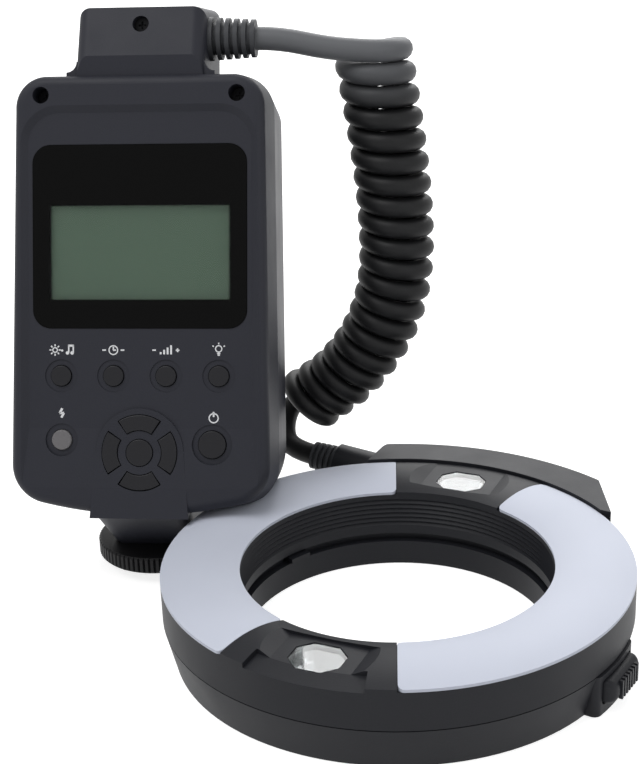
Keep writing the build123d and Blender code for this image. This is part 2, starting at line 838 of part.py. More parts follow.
def build_ring():
    """Write every piece of the ring head."""
    save(ring_rear_shell(), "ring_rear_shell")
    save(ring_front_shell(), "ring_front_shell")
    save(hood_cover(), "hood_cover")
    save(ring_board(), "ring_board")
    caps = []
    for name, angle in (("left", 90), ("right", -90)):
        at = twelve_deg + angle
        save(turned(diffuser(), at), f"diffuser_{name}")
        save(turned(flash_tube(90 - tube_end_deg, tube_r), at), f"flash_tube_{name}")
        save(turned(tube_channel(), at), f"tube_reflector_{name}")
        caps.append(turned(tube_caps(), at))
    save(Compound(children=[s for cap in caps for s in cap.solids()]), "tube_end_caps")
    for name, angle in (("upper", 0), ("lower", 180)):
        at = twelve_deg + angle
        save(turned(lamp_window(), at), f"lamp_window_{name}")
        save(turned(lamp_cup(), at), f"lamp_reflector_{name}")
        save(turned(focusing_lamp(), at), f"focusing_lamp_{name}")
    for name, frame in zip(("right", "left"), lever_frames()):
        save(release_lever(frame), f"release_lever_{name}")
    save(Compound(children=[lever_spring(frame) for frame in lever_frames()]), "lever_springs")
    one = screw(ring_screw_head_r, ring_screw_head_t, ring_screw_shank_r, ring_screw_length)
    save(Compound(children=[Rot(0, 0, a) * Pos(post_path_r, 0, 0) * one for a in post_angles]), "ring_screws")
    wall = boss_wall + screw_gap
    made = relief(ring_relief_length, ring_relief_discs, ring_relief_r, ring_relief_end_r,
                  ring_relief_core_r, ring_relief_core_r - boss_wall / 2 - screw_gap, wall,
                  boss_end_r - boss_wall - screw_gap)
    save(along_boss(boss_end_s) * made, "ring_strain_relief")


# Controller, built in the panel's frame and then leaned back over its foot

case_place = Pos(foot_x, foot_y - panel_reach, panel_base_z) * Rot(-lean_deg, 0, 0)
case_bottom_z = crown_z + case_clear
floor_y = recess_depth
inner_y = recess_depth + panel_wall
flange_y = inner_y + flange_gap
dome_y = flange_y + flange_t + button_travel + dome_gap
relief_y = parting_y


def below(height):
    """All space under a world height, seen from the panel's frame."""
    under = block((-beyond, -beyond, height - beyond), (beyond, beyond, height))
    return case_place.inverse() * under


def back_from(face, start, depth):
    """Extrude a face drawn in panel (x, z) backwards from a depth."""
    return Pos(0, start, 0) * extrude(Plane.XZ * face, -depth)


def along_x(points, half):
    """Extrude a closed outline of (y, z) points to half on each side."""
    return extrude(Plane.YZ * make_face(Polyline(*points, close=True)), half, both=True)


def rounded(half_w, low_z, high_z, radius):
    """A rounded rectangle on the panel."""
    face = fillet(Rectangle(2 * half_w, high_z - low_z).vertices(), radius)
    return Pos(0, (low_z + high_z) / 2) * face


def case_outline(inset):
    """The case seen on its panel, brought in all round."""
    low = case_low_half_w - inset
    top = case_top_half_w - inset
    corner_z = case_low_corner_z + inset
    rim = [
        Line((-top, case_shoulder_z - inset), (-low, corner_z)),
        ThreePointArc((-low, corner_z), (0, case_low_z + inset), (low, corner_z)),
        Line((low, corner_z), (top, case_shoulder_z - inset)),
        Line((top, case_shoulder_z - inset), (-top, case_shoulder_z - inset)),
    ]
    face = make_face(rim)
    middle = (case_low_z + case_shoulder_z) / 2
    face = fillet(face.vertices().filter_by(lambda v: v.Y < middle), case_low_corner_r - inset)
    return fillet(face.vertices().filter_by(lambda v: v.Y > middle).sort_by(Axis.X)[:1]
                  + face.vertices().filter_by(lambda v: v.Y > middle).sort_by(Axis.X)[-1:],
                  case_top_corner_r - inset)


def case_body(inset, start, end):
    """The drafted case between two depths."""
    def slab(depth, draft):
        """The outline at a depth."""
        return Pos(0, depth, 0) * (Plane.XZ * case_outline(inset + draft))
    front = loft([slab(start, front_draft), slab(parting_y, 0)], ruled=True)
    return front + loft([slab(parting_y, 0), slab(end, back_draft)], ruled=True)


def hump_body(inset):
    """The cord hump: a folded front face, and a top that rises towards the back."""
    base = (case_shoulder_z + hump_base_z) / 2
    points = [
        (hump_front_y + inset, base - case_top_corner_r), (hump_front_y + inset, hump_base_z),
        (hump_fold_y + inset, hump_fold_z), (hump_top_y + inset, hump_top_z - inset),
        (hump_back_y - inset, hump_back_z - inset), (hump_back_y - inset, base - case_top_corner_r),
    ]
    return along_x(points, hump_half_w - inset)


def case_solid():
    """The whole case's outside."""
    body = case_body(0, 0, case_depth)
    body = fillet(body.faces().sort_by(Axis.Y)[0].edges(), front_edge_r)
    body = fillet(body.faces().sort_by(Axis.Y)[-1].edges(), back_edge_r)
    hump = hump_body(0)
    sides = hump.edges().filter_by(lambda e: e.center().Z > hump_fold_z and abs(e.center().X) > overrun)
    hump = fillet(sides, hump_edge_r)
    for side in (-1, 1):
        corner = Pos(side * hump_half_w, case_shoulder_z) * Rectangle(2 * hump_root_r, 2 * hump_root_r)
        round_off = Pos(side * (hump_half_w + hump_root_r), case_shoulder_z + hump_root_r) * Circle(hump_root_r)
        hump += back_from(corner - round_off, hump_front_y, hump_back_y - hump_front_y)
    return body + hump - below(case_bottom_z)


def case_hollow():
    """The space inside the case's walls."""
    body = case_body(case_wall, inner_y, case_depth - case_wall)
    return body + hump_body(case_wall) - below(case_bottom_z + case_wall)


case_outside = case_solid()
case_inside = case_hollow()


def screw_places():
    """The case screws' places on the panel."""
    return [(-screw_x, screw_z), (screw_x, screw_z), (0, hump_screw_z)]


def bar(x, z, radius, start, end):
    """A round bar along the panel's depth."""
    return Pos(x, (start + end) / 2, z) * Rot(90, 0, 0) * Cylinder(radius, end - start)


def relief_hole(radius):
    """The strain relief's passage through the hump's right wall."""
    return Pos(hump_half_w, relief_y, relief_z) * Rot(0, 90, 0) * Cylinder(radius, 2 * case_wall + overrun)


def arrow_face(lip, gap=0):
    """One direction key's outline about the pad's centre, pointing up the panel."""
    inner = arrow_inner_r - lip
    outer = arrow_outer_r + lip
    half = radians(arrow_half_deg) + lip / arrow_inner_r
    def at(radius, angle):
        """A point at a radius and an angle from straight up."""
        return (radius * sin(angle), radius * cos(angle))
    rim = [
        ThreePointArc(at(inner - gap, -half), at(inner - gap, 0), at(inner - gap, half)),
        Line(at(inner - gap, half), at(outer + gap, half)),
        ThreePointArc(at(outer + gap, half), at(outer + gap, 0), at(outer + gap, -half)),
        Line(at(outer + gap, -half), at(inner - gap, -half)),
    ]
    return make_face(rim)


# Each button: name, place on the panel, its face, its hole, its flange, and its front's depth
def round_button(name, x, z, radius, front):
    """A round button's entry."""
    return (name, x, z, Circle(radius), Circle(radius + button_gap), Circle(radius + flange_lip), front)


def arrow_button(name, angle):
    """A direction key's entry, turned about the pad's centre."""
    turn = Rot(0, 0, angle)
    front = floor_y - pad_raise - button_proud
    cap = turn * arrow_face(-button_gap)
    return (name, 0, pad_z, cap, turn * arrow_face(0), turn * arrow_face(arrow_lip), front)


key_names = ["button_light", "button_mode", "button_ratio", "button_lamp"]
buttons = [round_button(name, (i - (len(key_names) - 1) / 2) * key_pitch, key_row_z, key_r,
                        floor_y - button_proud) for i, name in enumerate(key_names)]
buttons += [
    round_button("button_pilot", pilot_x, pilot_z, pilot_r, floor_y - button_proud),
    round_button("button_power", power_x, power_z, power_r, floor_y - button_proud),
    round_button("button_set", 0, pad_z, pad_centre_r, floor_y - pad_raise - button_proud),
]
buttons += [arrow_button(name, angle) for name, angle in (
    ("button_up", 0), ("button_left", 90), ("button_down", 180), ("button_right", 270))]


def panel_cover():
    """The case's front shell, with the recessed panel, the pad's island and its tongue."""
    front = block((-beyond, -beyond, -beyond), (beyond, parting_y - parting_gap / 2, beyond))
    body = case_outside & front
    low = recess_end_z - recess_corner_r
    deep = rounded(recess_half_w, low, recess_top_z, recess_corner_r)
    wide = rounded(recess_half_w + recess_slope, low - recess_slope, recess_top_z + recess_slope,
                   recess_corner_r + recess_slope)
    recess = loft([Plane.XZ * wide, Pos(0, recess_depth, 0) * (Plane.XZ * deep)])
    recess += back_from(wide, -overrun, overrun)
    ramp = along_x([(-overrun, recess_top_z + overrun), (recess_depth, recess_top_z + overrun),
                    (recess_depth, recess_ramp_z), (0, recess_end_z), (-overrun, recess_end_z)], beyond)
    body -= recess & ramp
    island = Pos(0, pad_z) * Circle(pad_r)
    body += back_from(island, floor_y - pad_raise, pad_raise + panel_wall / 2)
    low_z = case_low_z
    tongue = make_face(Polyline((-pad_r, pad_z), (pad_r, pad_z), (tongue_low_half_w, low_z),
                                (-tongue_low_half_w, low_z), close=True))
    rise = along_x([(floor_y - pad_raise, pad_z), (tongue_low_y, low_z), (inner_y, low_z),
                    (inner_y, pad_z)], beyond)
    body += (back_from(tongue, -overrun, 2 * overrun + inner_y) & rise) - below(case_bottom_z)
    body -= case_inside
    seat = rounded(glass_half_w + glass_gap, glass_low_z - glass_gap, glass_top_z + glass_gap,
                   glass_corner_r + glass_gap)
    body -= back_from(seat, -overrun, overrun + floor_y + glass_t - glass_proud)
    body -= back_from(rounded(display_half_w, display_low_z, display_top_z, display_gap), 0, parting_y)
    for name, x, z, face, hole, flange, depth in buttons:
        body -= Pos(x, 0, z) * back_from(hole, -overrun, parting_y)
        dish_r = {"button_power": power_dish_r}.get(name, key_dish_r)
        if depth == floor_y - button_proud:
            body -= bar(x, z, dish_r, -overrun, floor_y + button_dish)
    for x, z in screw_places():
        post = bar(x, z, screw_head_r + screw_gap + screw_post_wall, 0, parting_y - parting_gap / 2)
        body += post & case_outside
        body -= bar(x, z, screw_head_r + screw_gap, -overrun, screw_sink)
        body -= bar(x, z, screw_shank_r + screw_gap, 0, beyond)
    body -= relief_hole(relief_neck_r + screw_gap)
    return body - door_region(0)


def back_cover():
    """The case's rear shell, with screw posts, the capacitor's cradle and the door's hinge."""
    rear = block((-beyond, parting_y + parting_gap / 2, -beyond), (beyond, beyond, beyond))
    body = (case_outside - case_inside) & rear
    for x, z in screw_places():
        body += bar(x, z, screw_shank_r + screw_gap + screw_post_wall, parting_y + parting_gap / 2,
                    case_depth - case_wall / 2) & case_outside
        body -= bar(x, z, screw_shank_r + screw_gap, 0, screw_sink + screw_length)
    body -= relief_hole(relief_neck_r + screw_gap)
    cradle = block((capacitor_x - capacitor_r / 2, case_depth - capacitor_r, capacitor_low_z - 2 * tray_wall),
                   (capacitor_x + capacitor_r / 2, case_depth - case_wall / 2, capacitor_low_z - seat_gap))
    body += cradle
    body -= door_region(0)
    for low, high in fixed_spans():
        body += hinge_bar(knuckle_r, low, high)
    return body - hinge_space()


# Battery door, hinged on its rear edge

bay_high_z = bay_low_z + cell_length + cell_tip + 2 * contact_t + 2 * cell_gap
hinge_x = -(case_top_half_w - knuckle_out)
hinge_y = door_back_y
door_low_z = bay_low_z - door_overlap
door_high_z = bay_high_z + door_overlap


def door_region(gap):
    """The box on the case's left wall that the door fills."""
    return block((-beyond, door_front_y + gap, door_low_z + gap),
                 (hinge_x + case_wall, door_back_y - knuckle_r - gap, door_high_z - gap))


def hinge_bar(radius, low, high):
    """A bar on the door's hinge line between two heights."""
    return Pos(hinge_x, hinge_y, (low + high) / 2) * Cylinder(radius, high - low)


def knuckle_spans():
    """The heights of the door's two knuckles."""
    return [(door_low_z + door_gap, door_low_z + door_gap + knuckle_length),
            (door_high_z - door_gap - knuckle_length, door_high_z - door_gap)]


def fixed_spans():
    """The heights of the rear shell's own knuckles, outside and between the door's."""
    lower, upper = knuckle_spans()
    return [(door_low_z - knuckle_length, door_low_z), (lower[1] + door_gap, upper[0] - door_gap),
            (door_high_z, door_high_z + knuckle_length)]


def hinge_space():
    """Room in the rear shell for the pin and for the door's knuckles and their arms."""
    space = hinge_bar(hinge_pin_r + hinge_gap, door_low_z - knuckle_length, door_high_z + knuckle_length)
    for low, high in knuckle_spans():
        grown = hinge_bar(knuckle_r + door_gap, low - door_gap, high + door_gap)
        space += grown + block((-beyond, hinge_y - knuckle_r - overrun, low - door_gap),
                               (hinge_x + knuckle_r + door_gap, hinge_y, high + door_gap))
    return space


def battery_door():
    """A patch of the case's left wall with two hinge knuckles and thumb ribs."""
    wall = case_outside - case_inside
    body = wall & door_region(door_gap)
    for low, high in knuckle_spans():
        arm = block((hinge_x - knuckle_r, hinge_y - knuckle_r - overrun, low),
                    (hinge_x + knuckle_r / 2, hinge_y, high))
        body += (arm & case_outside) + hinge_bar(knuckle_r, low, high)
    middle = (door_low_z + door_high_z) / 2
    for i in range(door_rib_count):
        y = door_front_y + (i + 1) * door_rib_pitch
        rib = block((-case_low_half_w - door_rib_h, y, middle - knuckle_length),
                    (hinge_x, y + door_rib_share * door_rib_pitch, middle + knuckle_length))
        body += rib - case_inside
    return body - hinge_bar(hinge_pin_r + hinge_gap, 0, beyond)


def door_pin():
    """The door's hinge pin."""
    return hinge_bar(hinge_pin_r, door_low_z - knuckle_length / 2, door_high_z + knuckle_length / 2)


def cell_places():
    """The four cells' axes, two deep and two wide, and which way up each lies."""
    left = -case_top_half_w + case_wall + cell_gap + cell_r + tray_wall
    back = case_depth - case_wall - tray_wall - 2 * cell_gap - cell_r
    step = 2 * cell_r + cell_gap
    return [(left + i * step, back - j * step, (i + j) % 2) for i in (0, 1) for j in range(cells_deep)]


def aa_cells():
    """The four cells."""
    cells = []
    for x, y, flip in cell_places():
        low = bay_low_z + contact_t + cell_gap
        body = disc(cell_r, 0, cell_length) + disc(cell_tip_r, cell_length, cell_length + cell_tip)
        if flip:
            body = Pos(0, 0, cell_length + cell_tip) * Rot(180, 0, 0) * body
        cells.append(Pos(x, y, low) * body)
    return Compound(children=cells)


def battery_tray():
    """The open-sided tray round the cells: two ends, a front, a back and an inner wall."""
    places = cell_places()
    right = max(x for x, y, f in places) + cell_r + cell_gap
    left = min(x for x, y, f in places) - cell_r
    back = max(y for x, y, f in places) + cell_r + cell_gap
    front = min(y for x, y, f in places) - cell_r - cell_gap
    outer = block((left, front - tray_wall, bay_low_z - tray_wall), (right + tray_wall, back + tray_wall,
                                                                     bay_high_z + tray_wall))
    return outer - block((left - overrun, front, bay_low_z), (right, back, bay_high_z))


def battery_contacts():
    """Spring plates at both ends of the tray, one pair for each cell."""
    plates = []
    for x, y, flip in cell_places():
        plates.append(Pos(x, y, 0) * disc(contact_r, bay_low_z, bay_low_z + contact_t))
        plates.append(Pos(x, y, 0) * disc(contact_r, bay_high_z - contact_t, bay_high_z))
    return Compound(children=plates)


def button(face, flange, front):
    """A cap that shows through the panel, on a flange that holds it in."""
    cap = back_from(face, front, flange_y - front)
    top = cap.faces().sort_by(Axis.Y)[0]
    cap = fillet(top.edges(), button_edge_r)
    return cap + back_from(flange, flange_y, flange_t)


def keypad_mat():
    """The rubber mat on the board, with a dome behind each button."""
    back = main_board_y
    body = back_from(rounded(mat_half_w, main_board_low_z, mat_top_z, mat_t), back - mat_t, mat_t)
    for name, x, z, face, hole, flange, front in buttons:
        centre = flange.center()
        radius = dome_r_share * (pad_centre_r if abs(centre.X) + abs(centre.Y) > pad_centre_r else key_r)
        body += bar(x + centre.X, z + centre.Y, radius, dome_y, back - mat_t / 2)
    return body


def build_controller():
    """Write every piece of the controller's case."""
    save(case_place * panel_cover(), "panel_cover")
    save(case_place * back_cover(), "back_cover")
    save(case_place * battery_door(), "battery_door")
    save(case_place * door_pin(), "door_hinge_pin")
    save(case_place * aa_cells(), "aa_cells")
    save(case_place * battery_tray(), "battery_tray")
    save(case_place * battery_contacts(), "battery_contacts")
    face = rounded(glass_half_w, glass_low_z, glass_top_z, glass_corner_r)
    glass = back_from(face, floor_y - glass_proud, glass_t)
    save(case_place * glass, "window_glass")
    face = rounded(display_half_w + display_border, display_low_z - display_border,
                   display_top_z + display_border, display_gap)
    display = back_from(face, inner_y, main_board_y - inner_y)
    save(case_place * display, "display_module")
    face = rounded(main_board_half_w, main_board_low_z, main_board_top_z, mat_t)
    board = back_from(face, main_board_y, board_t)
    save(case_place * board, "main_board")
    save(case_place * keypad_mat(), "keypad_mat")
    for name, x, z, face, hole, flange, front in buttons:
        save(case_place * Pos(x, 0, z) * button(face, flange, front), name)
    can_y = case_depth - case_wall - seat_gap - capacitor_r
    can = Pos(capacitor_x, can_y, 0) * disc(capacitor_r, capacitor_low_z, capacitor_low_z + capacitor_length)
    save(case_place * can, "main_capacitor")
    low = main_board_y + board_t
    core = block((transformer_x - transformer_w / 2, low, transformer_z - transformer_h / 2),
                 (transformer_x + transformer_w / 2, low + transformer_t, transformer_z + transformer_h / 2))
    save(case_place * core, "transformer")
    one = Rot(-90, 0, 0) * screw(screw_head_r, screw_head_t, screw_shank_r, screw_length)
    screws = [case_place * Pos(x, screw_sink - screw_head_t, z) * one for x, z in screw_places()]
    save(Compound(children=screws), "case_screws")
    made = relief(relief_length, relief_discs, relief_r, relief_end_r, relief_core_r, relief_neck_r,
                  case_wall + screw_gap, relief_r)
    save(case_place * Pos(hump_half_w, relief_y, relief_z) * Rot(0, 90, 0) * made, "controller_strain_relief")


# Neck, foot and locking ring

foot_place = Pos(foot_x, foot_y, 0)
lock_high_z = lock_low_z + lock_height
neck_low_z = lock_high_z + lock_gap
contact_pins = [("contact_pin_centre", 0, 0)] + [
    (f"contact_pin_{i + 1}", x, y) for i, (x, y) in enumerate(
        [(-pin_x, pin_front_y), (pin_x, pin_front_y), (-pin_x, pin_back_y), (pin_x, pin_back_y)])]


def foot_neck():
    """The neck from the case's level bottom down to the round pillar inside the locking ring."""
    def slab(half_w, front, back, z):
        """The neck's section at a height."""
        return Pos(0, (back - front) / 2, z) * RectangleRounded(2 * half_w, front + back, neck_corner_r)
    body = loft([slab(neck_top_half_w, neck_top_front, neck_top_back, case_bottom_z),
                 slab(neck_low_half_w, neck_low_front, neck_low_back, neck_low_z)], ruled=True)
    body += disc(pillar_r, shoe_t, neck_low_z + overrun)
    for name, x, y in contact_pins:
        body -= Pos(x, y, 0) * disc(pin_head_r + pin_gap, shoe_t - overrun, pin_length + pin_travel + pin_gap)
    hole_top = lock_pin_length + pin_gap
    return body - Pos(0, lock_pin_y, 0) * disc(lock_pin_r + pin_gap, 0, hole_top)


def shoe_plate():
    """The accessory shoe's plate, its contact field set back behind the rails."""
    face = fillet(Rectangle(shoe_width, shoe_length).vertices(), shoe_corner_r)
    body = extrude(face, shoe_t)
    ahead = block((-beyond, -beyond, -overrun), (beyond, pin_back_y + 2 * pin_r, beyond))
    body -= disc(shoe_recess_r, -overrun, shoe_recess) & ahead
    for name, x, y in contact_pins:
        body -= Pos(x, y, 0) * disc(pin_r + pin_gap, 0, shoe_t)
    return body - Pos(0, lock_pin_y, 0) * disc(lock_pin_r + pin_gap, -overrun, shoe_t + overrun)


def locking_ring():
    """The knurled wheel, its teeth cut round the rim."""
    body = disc(lock_ring_r, lock_low_z, lock_high_z)
    body = chamfer(body.edges(), lock_bevel)
    pitch = 2 * pi * lock_ring_r / lock_tooth_count
    half = pitch * lock_tooth_share / 2
    face = make_face(Polyline((lock_ring_r - lock_tooth_depth, 0), (lock_ring_r + lock_tooth_depth, 2 * half),
                              (lock_ring_r + lock_tooth_depth, -2 * half), close=True))
    tooth = extrude(face, beyond)
    step = 360 / lock_tooth_count
    body -= [Rot(0, 0, i * step) * tooth for i in range(lock_tooth_count)]
    return body - disc(pillar_r + pillar_gap, 0, beyond)


def contact_pin():
    """A sprung contact: a head under the neck and a tip that shows in the shoe."""
    return disc(pin_r, 0, pin_length) + disc(pin_head_r, shoe_t + pin_gap, shoe_t + pin_gap + pin_head_t)


def build_foot():
    """Write the neck, the shoe, the locking ring and the pins."""
    save(foot_place * foot_neck(), "foot_neck")
    save(foot_place * shoe_plate(), "shoe_plate")
    save(foot_place * locking_ring(), "locking_ring")
    pin = disc(lock_pin_r, 0, lock_pin_length - lock_pin_travel)
    save(foot_place * Pos(0, lock_pin_y, 0) * pin, "locking_pin")
    for name, x, y in contact_pins:
        save(foot_place * Pos(x, y, 0) * contact_pin(), name)


# Cord: the coil's helix and the two free leads

axis_line = Spline(*coil_axis)
axis_steps = 400


def axis_frame(u):
    """The coil's axis at u: its place, its direction, and the direction across it in X and Z."""
    along = axis_line % u
    return axis_line @ u, along, Vector(-along.Z, 0, along.X)


def turn_shares():
    """How far along its turns the coil is at each step of its axis, closer where it bends less."""
    total = [0.0]
    for i in range(axis_steps):
        here = axis_frame(i / axis_steps)
        after = axis_frame((i + 1) / axis_steps)
        length = (after[0] - here[0]).length
        bend = radians(here[1].get_angle(after[1])) / length
        pitch = (coil_wire_d + coil_inner_gap) / (1 - coil_mean_r * bend)
        total.append(total[-1] + length / pitch)
    return total


turns_made = turn_shares()
whole_turns = coil_turns + (coil_end_deg - coil_start_deg) / 360


def axis_at(turn):
    """The share of the axis reached after a number of turns."""
    wanted = turn / whole_turns * turns_made[-1]
    for i in range(axis_steps):
        if turns_made[i + 1] >= wanted:
            part = (wanted - turns_made[i]) / (turns_made[i + 1] - turns_made[i])
            return (i + part) / axis_steps
    return 1.0


def coil_point(turn):
    """A point of the wire's centre line after a number of turns."""
    centre, along, across = axis_frame(axis_at(turn))
    angle = radians(coil_start_deg) + 2 * pi * turn
    return centre + across * (coil_mean_r * cos(angle)) + Vector(0, coil_mean_r * sin(angle), 0)


def coil_direction(turn):
    """The wire's direction after a number of turns."""
    small = step_share * whole_turns / axis_steps
    low = max(turn - small, 0)
    high = min(turn + small, whole_turns)
    return (coil_point(high) - coil_point(low)).normalized()


def biarc(start, start_dir, end, end_dir):
    """Two arcs from start to end that keep both directions."""
    v = end - start
    t = start_dir + end_dir
    across = 2 * (1 - start_dir.dot(end_dir))
    d = (-v.dot(t) + (v.dot(t) ** 2 + across * v.dot(v)) ** 0.5) / across
    middle = (start + end + (start_dir - end_dir) * d) / 2
    first = TangentArc(start, middle, tangent=start_dir)
    return [first, TangentArc(middle, end, tangent=first % 1)]


def coil_path():
    """The coil's centre line: a straight stub, biarcs of half a turn, and a straight stub."""
    stub = coil_wire_d * stub_share
    count = round(whole_turns * 2)
    stops = [i * whole_turns / count for i in range(count + 1)]
    points = [coil_point(s) for s in stops]
    ways = [coil_direction(s) for s in stops]
    edges = [Line(points[0] - ways[0] * stub, points[0])]
    for i in range(count):
        edges += biarc(points[i], ways[i], points[i + 1], ways[i + 1])
    edges.append(Line(points[-1], points[-1] + ways[-1] * stub))
    return edges, points, ways


def least_gap():
    """The coil's least gap to itself, on points one twenty-fourth of a turn apart."""
    per_turn = 24
    count = round(whole_turns * per_turn)
    points = [coil_point(i * whole_turns / count) for i in range(count + 1)]
    skip = per_turn // 2
    return min((points[i] - points[j]).length for i in range(count) for j in range(
        i + skip, min(i + 2 * per_turn, count + 1))) - coil_wire_d


def lead_radii(points):
    """The radius of each corner of a lead's route."""
    radii = []
    for before, here, after in zip(points, points[1:], points[2:]):
        one = Vector(*here) - Vector(*before)
        two = Vector(*after) - Vector(*here)
        half = radians(one.get_angle(two)) / 2
        radii.append(run_share * min(one.length, two.length) / tan(half))
    return radii


def lead(points, node):
    """A plain tube along straight runs joined by tangent arcs."""
    radii = lead_radii(points)
    path = FilletPolyline(*points, radius=radii)
    start = Vector(*points[1]) - Vector(*points[0])
    tube = sweep(Plane(origin=points[0], z_dir=start) * Circle(lead_d / 2), path=path)
    share = tube.volume / (pi * lead_d**2 / 4 * path.length)
    print(node, "corner radii", [round(r, 1) for r in radii], "length", round(path.length, 1),
          "volume over section times length", round(share, 4))
    save(tube, node)


def build_cord():
    """Write the coil and the two leads."""
    edges, points, ways = coil_path()
    path = Wire(edges)
    start = edges[0] @ 0
    end = edges[-1] @ 1
    coil = sweep(Plane(origin=start, z_dir=ways[0]) * Circle(coil_wire_d / 2), path=path)
    share = coil.volume / (pi * coil_wire_d**2 / 4 * path.length)
    print("coil turns", round(whole_turns, 2), "natural turns", round(turns_made[-1], 2), "least gap",
          round(least_gap(), 3), "length", round(path.length, 1), "volume share", round(share, 4))
    save(coil, "cord_coil")
    outer = case_place * Pos(hump_half_w + relief_length, relief_y, relief_z)
    first = Vector(*outer.position)
    upper = [first, first + Vector(upper_lead_run, 0, 0), start - ways[0] * upper_lead_run, start]
    lead([tuple(p) for p in upper], "cord_upper_lead")
    gland = along_boss(boss_end_s)
    last = gland.origin + gland.z_dir * ring_relief_length
    lower = [end, end + ways[-1] * lower_lead_run] + [Vector(*p) for p in lower_lead_middle]
    lower += [last + gland.z_dir * lower_lead_run, last]
    lead([tuple(p) for p in lower], "cord_lower_lead")


if __name__ == "__main__":
    os.makedirs("parts", exist_ok=True)
    build_ring()
    build_controller()
    build_foot()
    build_cord()
    print(len(written), "nodes written")
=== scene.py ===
"""Dresses the macro ring flash: cord, display, lamps, panel marks and moulded finishes."""

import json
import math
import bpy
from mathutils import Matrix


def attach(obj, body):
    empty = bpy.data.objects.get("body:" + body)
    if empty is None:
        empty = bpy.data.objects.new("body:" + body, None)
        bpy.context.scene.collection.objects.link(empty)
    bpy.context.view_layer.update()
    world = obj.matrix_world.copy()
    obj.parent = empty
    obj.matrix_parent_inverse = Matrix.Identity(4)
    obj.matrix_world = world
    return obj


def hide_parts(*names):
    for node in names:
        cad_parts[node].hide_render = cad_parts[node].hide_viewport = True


bl_info = {
    "name": "Macro Ring Flash",
    "version": (1, 0, 0),
    "blender": (4, 5, 0),
    "location": "View3D > Sidebar > Ring Flash",
    "description": "Builds a macro ring flash's cord, lamps, display and finishes over its frame",
    "category": "Object",
}

import bmesh
import bpy
from mathutils import Matrix, Vector

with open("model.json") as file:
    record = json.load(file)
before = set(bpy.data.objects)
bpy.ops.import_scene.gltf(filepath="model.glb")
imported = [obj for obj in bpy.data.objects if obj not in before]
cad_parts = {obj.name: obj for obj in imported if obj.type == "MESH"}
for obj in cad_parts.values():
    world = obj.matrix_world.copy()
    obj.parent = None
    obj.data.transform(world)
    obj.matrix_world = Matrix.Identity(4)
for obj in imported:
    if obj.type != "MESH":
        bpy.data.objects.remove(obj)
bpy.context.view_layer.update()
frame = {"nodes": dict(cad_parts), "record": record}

MM = 0.001
BODY = "flash"

# The camera: its frame's longer side and focal length in pixels, its angles and its place
FRAME_PX, FOCAL_PX, SENSOR_MM = 764, 1615, 36
HEADING, PITCH, ROLL = math.radians(6), math.radians(21.7), math.radians(-2)
CAMERA_PLACE = (0.01904, -0.34188, 0.203)

# The lamps: name, place, side in metres, power in watts. All aim at LAMP_AIM
STUDIO_LAMPS = (
    ("Key", (-0.4, -0.3, 1.0), 0.6, 5.0),
    ("Fill", (0.7, -0.6, 0.5), 0.7, 1.2),
    ("Back", (0.1, 0.9, 0.7), 0.8, 7.0),
)
LAMP_AIM = Vector((0, 0, 0.05))
FLOOR_DROP, FLOOR_REACH = 0.0003, 6
FLOOR_SEEN = 0.8
WORLD_LIGHT, WORLD_SEEN = 0.5, 1.0

# The panel's own frame: x across, y back from the bezel, z up the panel
PANEL_LEAN = math.radians(20)
PANEL = Matrix.Translation((-65.5 * MM, 17.1 * MM, 25 * MM)) @ Matrix.Rotation(-PANEL_LEAN, 4, "X")

# The display's opening in the panel's frame: half width, middle height, half height
OPENING_HALF_W, OPENING_Z, OPENING_HALF_H = 22.8 * MM, 64.2 * MM, 11.8 * MM

# The printed marks in the panel's frame: the four keys' columns and their row, then the two buttons
KEY_COLUMNS = (-20.1 * MM, -6.7 * MM, 6.7 * MM, 20.1 * MM)
KEY_ROW = 39.7 * MM
PILOT_MARK = (-20 * MM, 23.8 * MM)
POWER_MARK = (18.8 * MM, 22.7 * MM)
INK_DEPTH, INK_THICK = 1.2 * MM, 0.03 * MM

# The ring head's twelve o'clock
TWELVE = math.radians(71.5)

# A lamp's reflector: its rim's half sides, the gap its halves are moved apart by, its stages and its place
REFLECTOR_SIDES = 12
REFLECTOR_HALF = (5.6 * MM, 3.4 * MM)
REFLECTOR_SPREAD = 2.7 * MM
REFLECTOR_STAGES = ((0.92, 3.4 * MM), (0.6, 4.8 * MM))
REFLECTOR_PLACE = (46.75 * MM, 0, 18.5 * MM)
REFLECTOR_WALL = 0.2 * MM

# The height over which painted light turns the cord's jacket from the coil's colour to the paler, lit colour
# of the lead
PAINTED_LIGHT_FROM, PAINTED_LIGHT_TO = 0.115, 0.1285

# The cord's thickness down its length: its share at the coil's top, how much it loses by the end, and the
# points over which it meets the leads
COIL_SWELL, COIL_TAPER = 1.15, 0.21
START_BLEND, END_BLEND, END_REACH = 12, 16, 10

# The cord's route in metres, from the controller's strain relief to the ring's
UPPER_LEAD = [
    (-0.0374, 0.06908, 0.13272), (-0.0314, 0.06908, 0.13272), (-0.01922, 0.06809, 0.1301),
]
COIL_AXIS = [
    (-0.0084, 0.076, 0.1292), (-0.0068, 0.076, 0.1185), (-0.005, 0.076, 0.106),
    (-0.0036, 0.076, 0.094), (-0.0028, 0.076, 0.0815), (-0.0029, 0.076, 0.07),
    (-0.0047, 0.076, 0.0596), (-0.0086, 0.076, 0.05), (-0.0144, 0.076, 0.0416),
    (-0.0212, 0.076, 0.035), (-0.0286, 0.076, 0.0304),
]
LOWER_LEAD = [
    (-0.0229, 0.0809, 0.0256), (-0.0245, 0.0868, 0.0247), (-0.0285, 0.0908, 0.0255),
    (-0.0332, 0.09, 0.025), (-0.0359, 0.0862, 0.022), (-0.0363, 0.0816, 0.0172),
    (-0.03335, 0.07801, 0.01433), (-0.02723, 0.07597, 0.01342),
]


# Sizes and colours a user would change

